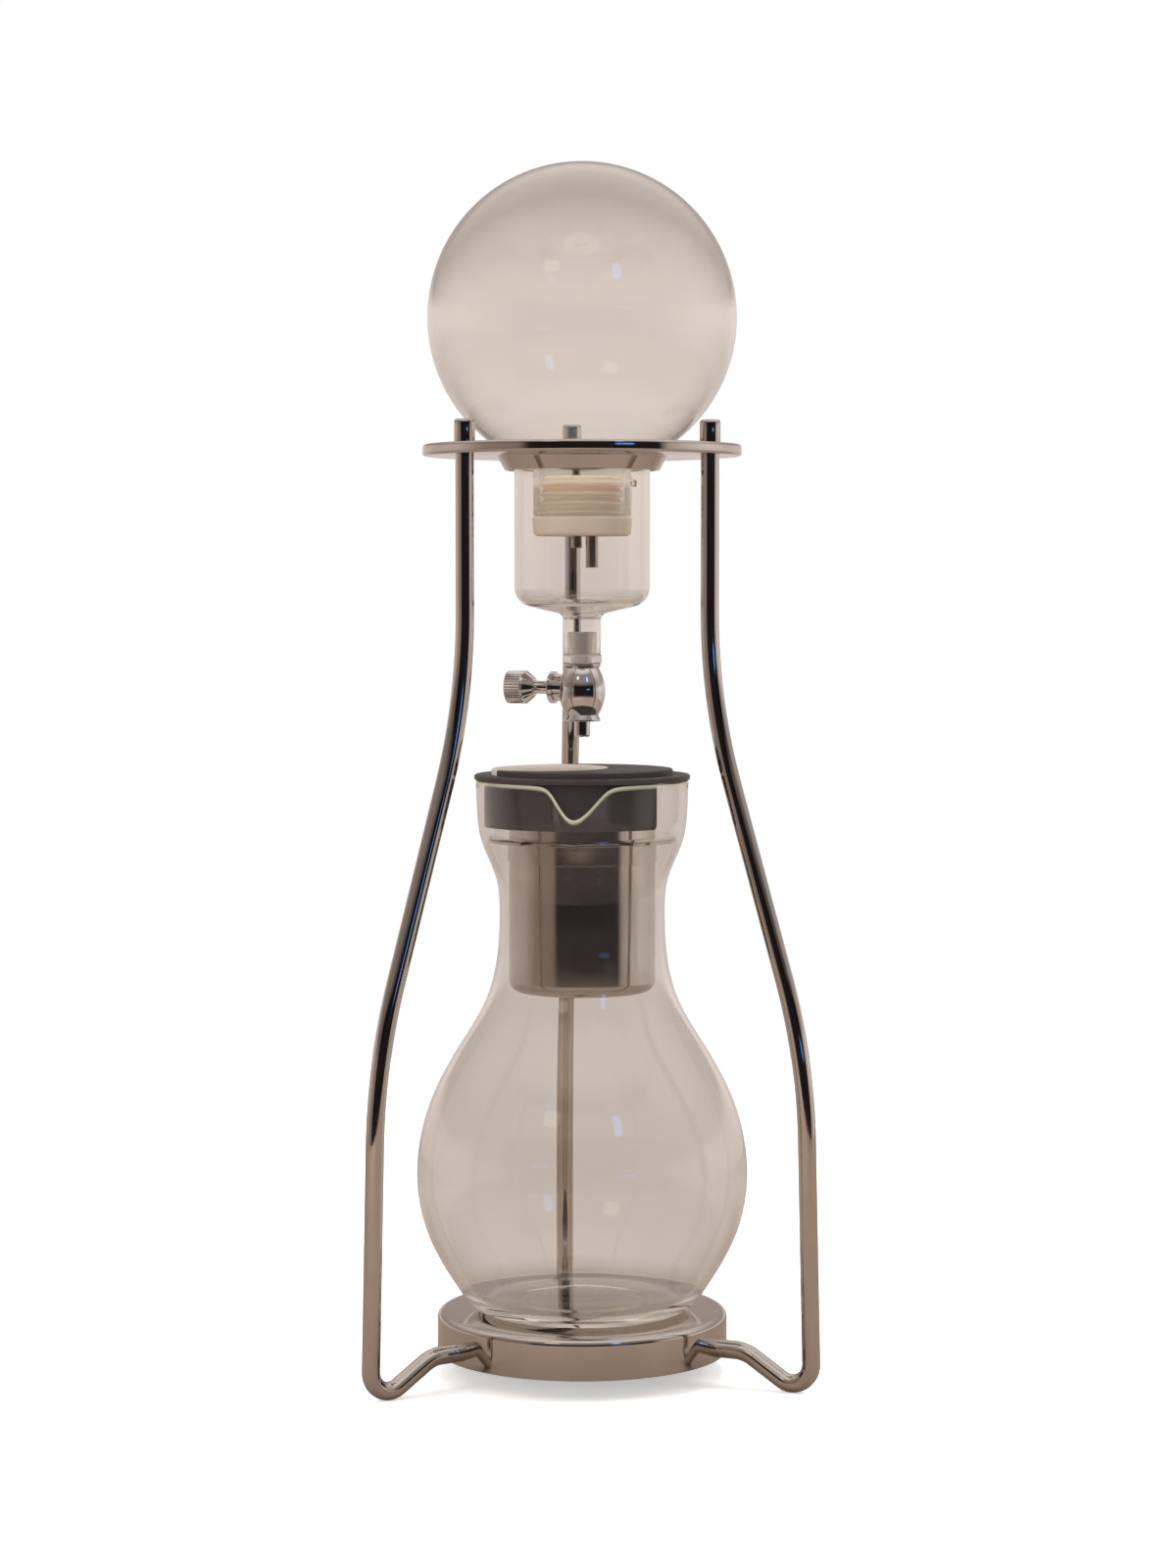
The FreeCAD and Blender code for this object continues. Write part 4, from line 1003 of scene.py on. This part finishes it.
def paintRimLight():
    # painted rim light: a pale diffuse tone mixed into the glass along the edge of the mouth stands in for
    # the light that the thick rim glass carries; its height beside the spout is found as in spoutShare
    material = glassFinish("carafeGlass")
    tree = material.node_tree
    output = tree.nodes["Material Output"]
    glass = output.inputs["Surface"].links[0].from_socket
    place = objectPlace(tree)
    ahead, beside = spoutWays()
    offset = dot(tree, place, beside)
    inFront = maths(tree, "GREATER_THAN", dot(tree, place, ahead), 0.0)
    bottom = carafe["spoutBottom"]
    shoulder = carafe["spoutShoulder"]
    depths = [math.hypot(carafe[key], bottom) - bottom for key in ("spoutLeft", "spoutRight")]
    whole = ramp(tree, maths(tree, "GREATER_THAN", offset, 0.0), 0.0, 1.0, *depths)
    fall = maths(tree, "DIVIDE", maths(tree, "SUBTRACT", longSide(tree, offset, bottom), bottom), whole)
    share = maths(tree, "SUBTRACT", 1.0, fall)
    bent = maths(tree, "ADD", share, longSide(tree, share, shoulder))
    pinched = maths(tree, "MULTIPLY", maths(tree, "DIVIDE", bent, 1 + math.hypot(1, shoulder)), inFront)
    edge = maths(tree, "SUBTRACT", carafe["rim"], maths(tree, "MULTIPLY", pinched, carafe["spoutDepth"]))
    below = maths(tree, "SUBTRACT", edge, addNode(tree, "SeparateXYZ", None, Vector=place).outputs[2])
    # painted rim light: a pale diffuse shader is mixed over the glass in a band just below the edge of the
    # mouth
    rimLightMask = ramp(tree, below, carafe["rimLightFull"], carafe["rimLightBand"], carafe["rimLightMost"], 0.0)
    pale = addNode(tree, "BsdfDiffuse", None, Color=carafe["rimLightTone"]).outputs[0]
    tree.links.new(mixShaders(tree, rimLightMask, glass, pale), output.inputs["Surface"])
    return material


def makeCarafe():
    bottom = carafe["bottom"]
    side = [(radius, bottom + height) for radius, height in carafe["side"]]
    outside = smoothThrough(side, steps=5)
    inside = moveInwards(outside, carafe["wall"])[::-1]
    puntTop = bottom + carafe["punt"]
    path = roundOff([
        (0, bottom + carafe["floor"] + carafe["crown"]),
        (carafe["heel"] - carafe["wall"] / 2, bottom + carafe["floor"], carafe["floorBend"]),
        *[(spot.x, spot.y) for spot in inside],
        (carafe["rimRadius"] - carafe["wall"], carafe["rim"], carafe["rimEdge"]),
        (carafe["rimRadius"], carafe["rim"], carafe["rimEdge"]),
        *[(spot.x, spot.y) for spot in outside],
        (carafe["heel"], bottom, carafe["heelBend"]),
        (carafe["foot"], bottom, carafe["crown"]),
        (carafe["foot"] - carafe["puntSlope"], puntTop, carafe["puntBend"]),
        (0, puntTop),
    ], steps=10)
    glass = turn("carafe", path, carafe["sides"])
    pinchSpout(glass)
    # the carafe's glass has a painted rim light along its mouth
    finishPiece(glass, "jug", "clear_glass", "carafe", paintRimLight())


makeCarafe()
print("Carafe made")


# Strainer basket

basketLow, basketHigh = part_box("basket_wall")
flangeLow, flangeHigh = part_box("basket_flange")
basket = {
    "radius": basketHigh[0], "bottom": basketLow[2], "top": basketHigh[2], "wall": 0.0008, "corner": 0.005,
    "opening": 0.0224, "edge": 0.0003, "flangeSeat": flangeHigh[1], "flangeTop": flangeHigh[2],
    "flangeSheet": 0.0013, "sleeve": 0.0006, "sleeveEnd": flangeLow[2], "flangeEdge": 0.0005,
    "notchSide": math.radians(31), "notchWidth": 0.006, "notchDepth": 0.0045, "notchHeight": 0.01,
    "floor": 0.0252, "floorSheet": 0.0008, "sides": 128, "floorSides": 96,
    "hole": 0.0013, "holeSides": 20, "holePitch": 0.0052, "holeRings": 3, "holesInRing": 6,
}


def makeBasket():
    inner = basket["radius"] - basket["wall"]
    wall = turn("basketWall", roundOff([
        (basket["opening"], basket["bottom"]),
        (basket["radius"], basket["bottom"], basket["corner"]),
        (basket["radius"], basket["top"], basket["edge"]),
        (inner, basket["top"], basket["edge"]),
        (inner, basket["bottom"] + basket["wall"], basket["corner"] - basket["wall"]),
        (basket["opening"], basket["bottom"] + basket["wall"]),
    ], closed=True), basket["sides"])
    finishPiece(wall, "basket", "basket_steel", "basket_wall")
    sleeve = basket["radius"] + basket["sleeve"]
    under = basket["flangeTop"] - basket["flangeSheet"]
    flange = turn("basketFlange", roundOff([
        (basket["radius"], basket["sleeveEnd"]),
        (sleeve, basket["sleeveEnd"], basket["edge"] / 2),
        (sleeve, under, basket["flangeEdge"]),
        (basket["flangeSeat"], under, basket["edge"]),
        (basket["flangeSeat"], basket["flangeTop"], basket["flangeEdge"]),
        (basket["radius"], basket["flangeTop"]),
    ], closed=True), basket["sides"])
    notchSize = (basket["notchDepth"] * 2, basket["notchWidth"], basket["notchHeight"])
    for side in (-1, 1):
        notch = addBlock("notch", notchSize, (basket["flangeSeat"], 0, basket["flangeTop"]),
                         carafe["spoutAngle"] + side * basket["notchSide"])
        combine(flange, notch, "DIFFERENCE")
    finishPiece(flange, "basket", "basket_steel", "basket_flange")


def makeStrainer():
    bottom = basket["bottom"] + basket["wall"]
    top = bottom + basket["floorSheet"]
    floor = addCylinder("basketFloor", basket["floor"], bottom, top, segments=basket["floorSides"])
    clearSelection()
    for row in range(basket["holeRings"] + 1):
        count = max(1, basket["holesInRing"] * row)
        for hole in range(count):
            turned = fullTurn * hole / count
            away = row * basket["holePitch"]
            bpy.ops.mesh.primitive_cylinder_add(
                vertices=basket["holeSides"], radius=basket["hole"], depth=basket["floorSheet"] * 4,
                location=(away * math.cos(turned), away * math.sin(turned), (bottom + top) / 2))
            bpy.context.object.name = "strainerHole"
    drills = [piece for piece in bpy.data.objects if piece.name.startswith("strainerHole")]
    for drill in drills:
        drill.select_set(True)
    bpy.context.view_layer.objects.active = drills[0]
    bpy.ops.object.join()
    combine(floor, bpy.context.object, "DIFFERENCE")
    finishPiece(floor, "basket", "basket_steel", "basket_floor")


makeBasket()
makeStrainer()
print("Basket made")


# Lid

lidLow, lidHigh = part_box("lid_body")
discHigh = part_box("lid_disc")[1]
lid = {
    "radius": 0.0446, "bottom": carafe["rim"], "top": lidHigh[2], "underEdge": 0.0006, "edge": 0.0008,
    "skirt": 0.0405, "skirtWall": 0.0017, "skirtEnd": lidLow[2], "skirtCorner": 0.002,
    "gapFrom": math.radians(-47.5), "gapTo": math.radians(33.5), "middle": 0.00643,
    "disc": 0.0375, "discTop": discHigh[2], "discEdge": 0.0006,
    "insert": 0.028, "insertGap": 0.00015, "insertAway": 0.0188, "insertAngle": math.radians(150.3),
    "dripHole": 0.005, "collar": 0.0064, "collarEnd": 0.0036,
    "slitWidth": 0.001, "slitLength": 0.024, "slitHeight": 0.01, "slitAngle": math.radians(111),
    "cutReach": 0.001, "sides": 144, "skirtSides": 120,
}


def roundSkirtCorners(skirt):
    # the lower corners beside the pouring gap, picked by their place and bevelled
    near = 1e-5
    pickNothing(skirt, "EDGE")
    ends = [Vector((math.cos(angle), math.sin(angle), 0)) for angle in (lid["gapFrom"], lid["gapTo"])]
    for edge in skirt.data.edges:
        spots = [skirt.data.vertices[i].co for i in edge.vertices]
        low = all(spot.z < lid["skirtEnd"] + near for spot in spots)
        for end in ends:
            across = [spot.cross(end).z for spot in spots]
            ahead = all(spot.dot(end) > 0 for spot in spots)
            if low and ahead and max(abs(value) for value in across) < near:
                edge.select = True
    bpy.ops.object.mode_set(mode="EDIT")
    bpy.ops.mesh.bevel(offset=lid["skirtCorner"], offset_type="OFFSET", segments=6, affect="EDGES")
    bpy.ops.object.mode_set(mode="OBJECT")
    bpy.ops.object.shade_smooth_by_angle(angle=smoothLimit)


def makeLidBody():
    inner = lid["skirt"] - lid["skirtWall"]
    overlap = lid["underEdge"]
    flange = turn("lidBody", roundOff([
        (lid["middle"], lid["bottom"]),
        (lid["radius"], lid["bottom"], lid["underEdge"]),
        (lid["radius"], lid["top"], lid["edge"]),
        (lid["middle"], lid["top"]),
    ], closed=True), lid["sides"])
    skirt = turnPart("lidSkirt", roundOff([
        (inner, lid["bottom"] + overlap),
        (inner, lid["skirtEnd"]),
        (lid["skirt"], lid["skirtEnd"]),
        (lid["skirt"], lid["bottom"] + overlap),
    ], closed=True), lid["gapTo"], lid["gapFrom"] + fullTurn, lid["skirtSides"])
    roundSkirtCorners(skirt)
    combine(flange, skirt, "UNION")
    finishPiece(flange, "lid", "lid_dark", "lid_body")


def discStart(name):
    return turn(name, roundOff([
        (0, lid["top"]),
        (lid["disc"], lid["top"]),
        (lid["disc"], lid["discTop"], lid["discEdge"]),
        (0, lid["discTop"]),
    ]), lid["sides"])


def makeLidDiscs():
    away, angle = lid["insertAway"], lid["insertAngle"]
    place = (away * math.cos(angle), away * math.sin(angle))
    low = lid["top"] - lid["cutReach"]
    high = lid["discTop"] + lid["cutReach"]
    collarEnd = lid["top"] - lid["collarEnd"]
    disc = discStart("lidDisc")
    hole = addCylinder("insertHole", lid["insert"], low, high, place, lid["sides"])
    combine(disc, hole, "DIFFERENCE")
    finishPiece(disc, "lid", "lid_dark", "lid_disc")
    insert = discStart("lidInsert")
    kept = addCylinder("insertShape", lid["insert"] - lid["insertGap"], low, high, place, lid["sides"])
    combine(insert, kept, "INTERSECT")
    collar = addCylinder("dripCollar", lid["collar"], collarEnd, lid["top"] + lid["cutReach"])
    combine(insert, collar, "UNION")
    drill = addCylinder("dripDrill", lid["dripHole"], collarEnd - lid["cutReach"], high)
    combine(insert, drill, "DIFFERENCE")
    slit = addBlock("slit", (lid["slitLength"], lid["slitWidth"], lid["slitHeight"]),
                    (lid["disc"] - lid["slitLength"] / 2, 0, lid["discTop"]), lid["slitAngle"])
    combine(insert, slit, "DIFFERENCE")
    finishPiece(insert, "lid", "lid_light", "lid_insert")


makeLidBody()
makeLidDiscs()
print("Lid made")


# Hidden pieces that keep their own solids

for node, finish in (("leg_bolts", "rod_steel"), ("spindle_ring", "black_rubber")):
    for holder in frame["nodes"][node].material_slots:
        holder.material = finishes[finish]


# Floor, surroundings, lamps and camera

studio = {
    "cameraDistance": 1.43, "cameraHeight": 0.33, "cameraAngle": math.radians(-94.5),
    "tilt": math.radians(3.4), "axisOffset": math.radians(0.097), "lens": 79.54, "sensor": 36,
    "floorRadius": 0.95, "floorSeen": (0.8, 0.8, 0.8, 1), "floorLift": 0.45,
    "tableTone": (0.32, 0.26, 0.22, 1), "farTableTone": (0.60, 0.53, 0.49, 1),
    "white": (1, 1, 1, 1), "above": (0.92, 0.87, 0.83, 1), "below": (0.46, 0.38, 0.33, 1),
    "frontHigh": (0.34, 0.29, 0.26, 1), "behindGlass": (0.40, 0.35, 0.32, 1),
    # the room round the tower, in degrees from the front: dark in front, light behind and on the window side
    "room": [(-180, (0.77, 0.67, 0.615, 1)), (-105, (0.72, 0.62, 0.57, 1)), (-80, (0.42, 0.33, 0.28, 1)),
             (-50, (0.34, 0.26, 0.215, 1)), (-43, (0.02, 0.016, 0.017, 1)), (52, (0.02, 0.017, 0.018, 1)),
             (60, (0.62, 0.54, 0.49, 1)), (95, (1.0, 0.92, 0.86, 1)), (130, (0.80, 0.71, 0.66, 1)),
             (180, (0.77, 0.67, 0.615, 1))],
    # heights in the room go from straight down at -1 to straight up at 1; first how light it is at each
    "heights": [(-1, 0.8), (-0.09, 0.8), (0.02, 0.97), (0.09, 1.0), (0.15, 0.56), (0.32, 0.56), (0.6, 1.0),
                (1, 1.0)],
    "aboveFrom": (0.6, 0.8), "belowFrom": (-0.21, -0.3), "frontHighFrom": (0.2, 0.4),
    # small lights in the dark part: degrees round and up, width and height, colour
    "windows": [(24, 30, 0.055, 0.10, (0.7, 1.5, 3.4, 1)), (26, 4, 0.12, 0.02, (0.2, 0.55, 1.5, 1)),
                (-30, 34, 0.10, 0.08, (1.5, 1.35, 1.2, 1))],
    # where their light fades, how square they are, and how near to their direction they show
    "windowEdge": (0.6, 1.4), "windowSquareness": 4.0, "windowSide": 0.5,
    # name, place, what it points at, width, height and watts
    "lamps": [("softLeft", (-1.1, -0.7, 0.95), (0, 0, 0.25), 0.7, 1.1, 11),
              ("softRight", (1.2, -0.35, 0.8), (0, 0, 0.25), 0.5, 1.0, 8),
              ("softTop", (0.1, 0.3, 1.6), (0, 0, 0.2), 0.9, 0.9, 12),
              ("lowFill", (-0.5, -1.25, 0.33), (0, 0, 0.34), 0.5, 0.3, 7)],
    "lampTone": (1.0, 0.97, 0.94),
}


def makeFloor():
    clearSelection()
    bpy.ops.mesh.primitive_circle_add(vertices=96, radius=studio["floorRadius"], fill_type="NGON")
    floor = bpy.context.object
    floor.name = "floor"
    material = bpy.data.materials.new("paleFloor")
    material.use_nodes = True
    tree = material.node_tree
    tree.nodes.clear()
    path = addNode(tree, "LightPath").outputs
    seen = path["Is Camera Ray"]
    mirrored = mixColours(tree, path["Is Glossy Ray"], studio["farTableTone"], studio["tableTone"])
    tone = mixColours(tree, seen, mirrored, studio["floorSeen"])
    paint = addNode(tree, "BsdfDiffuse", None, Color=tone).outputs[0]
    lift = maths(tree, "MULTIPLY", seen, studio["floorLift"])
    glow = addNode(tree, "Emission", None, Strength=lift).outputs[0]
    both = addNode(tree, "AddShader", None, n0=paint, n1=glow).outputs[0]
    # what is seen through the glass is the room and not the floor's far edge
    passed = addNode(tree, "BsdfTransparent").outputs[0]
    kept = mixShaders(tree, path["Is Transmission Ray"], both, passed)
    addNode(tree, "OutputMaterial", None, Surface=kept)
    floor.data.materials.append(material)


def addWindow(tree, way, room, degreesRound, degreesUp, width, height, color):
    # a soft-edged light in one direction of the room
    turned, raised = math.radians(degreesRound), math.radians(degreesUp)
    flat = Vector((math.sin(turned), -math.cos(turned), 0)) * math.cos(raised)
    towards = flat + Vector((0, 0, math.sin(raised)))
    beside = Vector((math.cos(turned), math.sin(turned), 0))
    upwards = beside.cross(towards)
    away = addNode(tree, "VectorMath", {"operation": "SUBTRACT"}, n0=way, n1=towards).outputs[0]
    offsets = [maths(tree, "POWER", maths(tree, "ABSOLUTE", offset), studio["windowSquareness"])
               for offset in (dot(tree, way, beside / width), dot(tree, away, upwards / height))]
    inside = ramp(tree, maths(tree, "ADD", *offsets), *studio["windowEdge"], 1.0, 0.0)
    thisSide = maths(tree, "GREATER_THAN", dot(tree, way, towards), studio["windowSide"])
    return mixColours(tree, maths(tree, "MULTIPLY", inside, thisSide), room, color)


def makeSurroundings():
    # white to the camera; metal and glass see a light room behind the tower and a dark one in front of it
    world = bpy.data.worlds.new("studioRoom")
    bpy.context.scene.world = world
    world.use_nodes = True
    tree = world.node_tree
    tree.nodes.clear()
    way = addNode(tree, "TexCoord").outputs["Generated"]
    parts = addNode(tree, "SeparateXYZ", None, Vector=way).outputs
    bearing = maths(tree, "ARCTAN2", parts[0], maths(tree, "MULTIPLY", parts[1], -1.0))
    sides = [((degrees + 180) / 360, color) for degrees, color in studio["room"]]
    room = colourRamp(tree, ramp(tree, bearing, -math.pi, math.pi), sides)
    heights = [((height + 1) / 2, (share, share, share, 1)) for height, share in studio["heights"]]
    shade = colourRamp(tree, ramp(tree, parts[2], -1.0, 1.0), heights)
    room = mixColours(tree, 1.0, room, shade, "MULTIPLY")
    for window in studio["windows"]:
        room = addWindow(tree, way, room, *window)
    top = ramp(tree, parts[2], *studio["aboveFrom"], kind="SMOOTHSTEP")
    room = mixColours(tree, top, room, studio["above"])
    room = mixColours(tree, ramp(tree, parts[2], *studio["belowFrom"]), room, studio["below"])
    # the dark front ends at eye level, and isn't what clear glass shows from behind
    raised = ramp(tree, parts[2], *studio["frontHighFrom"])
    room = mixColours(tree, raised, room, studio["frontHigh"], "LIGHTEN")
    path = addNode(tree, "LightPath").outputs
    seldom = maths(tree, "LESS_THAN", path["Ray Depth"], blownGlass["turns"])
    through = maths(tree, "MULTIPLY", path["Is Transmission Ray"], seldom)
    room = mixColours(tree, through, room, studio["behindGlass"], "LIGHTEN")
    seen = addNode(tree, "Background", None, Color=studio["white"], Strength=1.0).outputs[0]
    felt = addNode(tree, "Background", None, Color=room, Strength=1.0).outputs[0]
    addNode(tree, "OutputWorld", None, Surface=mixShaders(tree, path["Is Camera Ray"], felt, seen))


def addLamp(name, place, target, width, height, power):
    clearSelection()
    bpy.ops.object.light_add(type="AREA", location=place)
    lamp = bpy.context.object
    lamp.name = name
    lamp.data.shape = "RECTANGLE"
    lamp.data.size, lamp.data.size_y = width, height
    lamp.data.energy = power
    lamp.data.color = studio["lampTone"]
    lamp.rotation_euler = (Vector(target) - Vector(place)).to_track_quat("-Z", "Y").to_euler()
    lamp.visible_glossy = False
    lamp.visible_transmission = False


def addCamera():
    angle = studio["cameraAngle"]
    place = (studio["cameraDistance"] * math.cos(angle), studio["cameraDistance"] * math.sin(angle),
             studio["cameraHeight"])
    heading = angle + math.pi - studio["axisOffset"]
    turned = (math.pi / 2 - studio["tilt"], 0, heading - math.pi / 2)
    bpy.ops.object.camera_add(location=place, rotation=turned)
    camera = bpy.context.object
    camera.data.lens = studio["lens"]
    camera.data.sensor_width = studio["sensor"]
    bpy.context.scene.camera = camera


makeFloor()
makeSurroundings()
for lamp in studio["lamps"]:
    addLamp(*lamp)
addCamera()
bpy.context.scene.view_settings.view_transform = "Standard"
print("Stage, lamps and camera made")
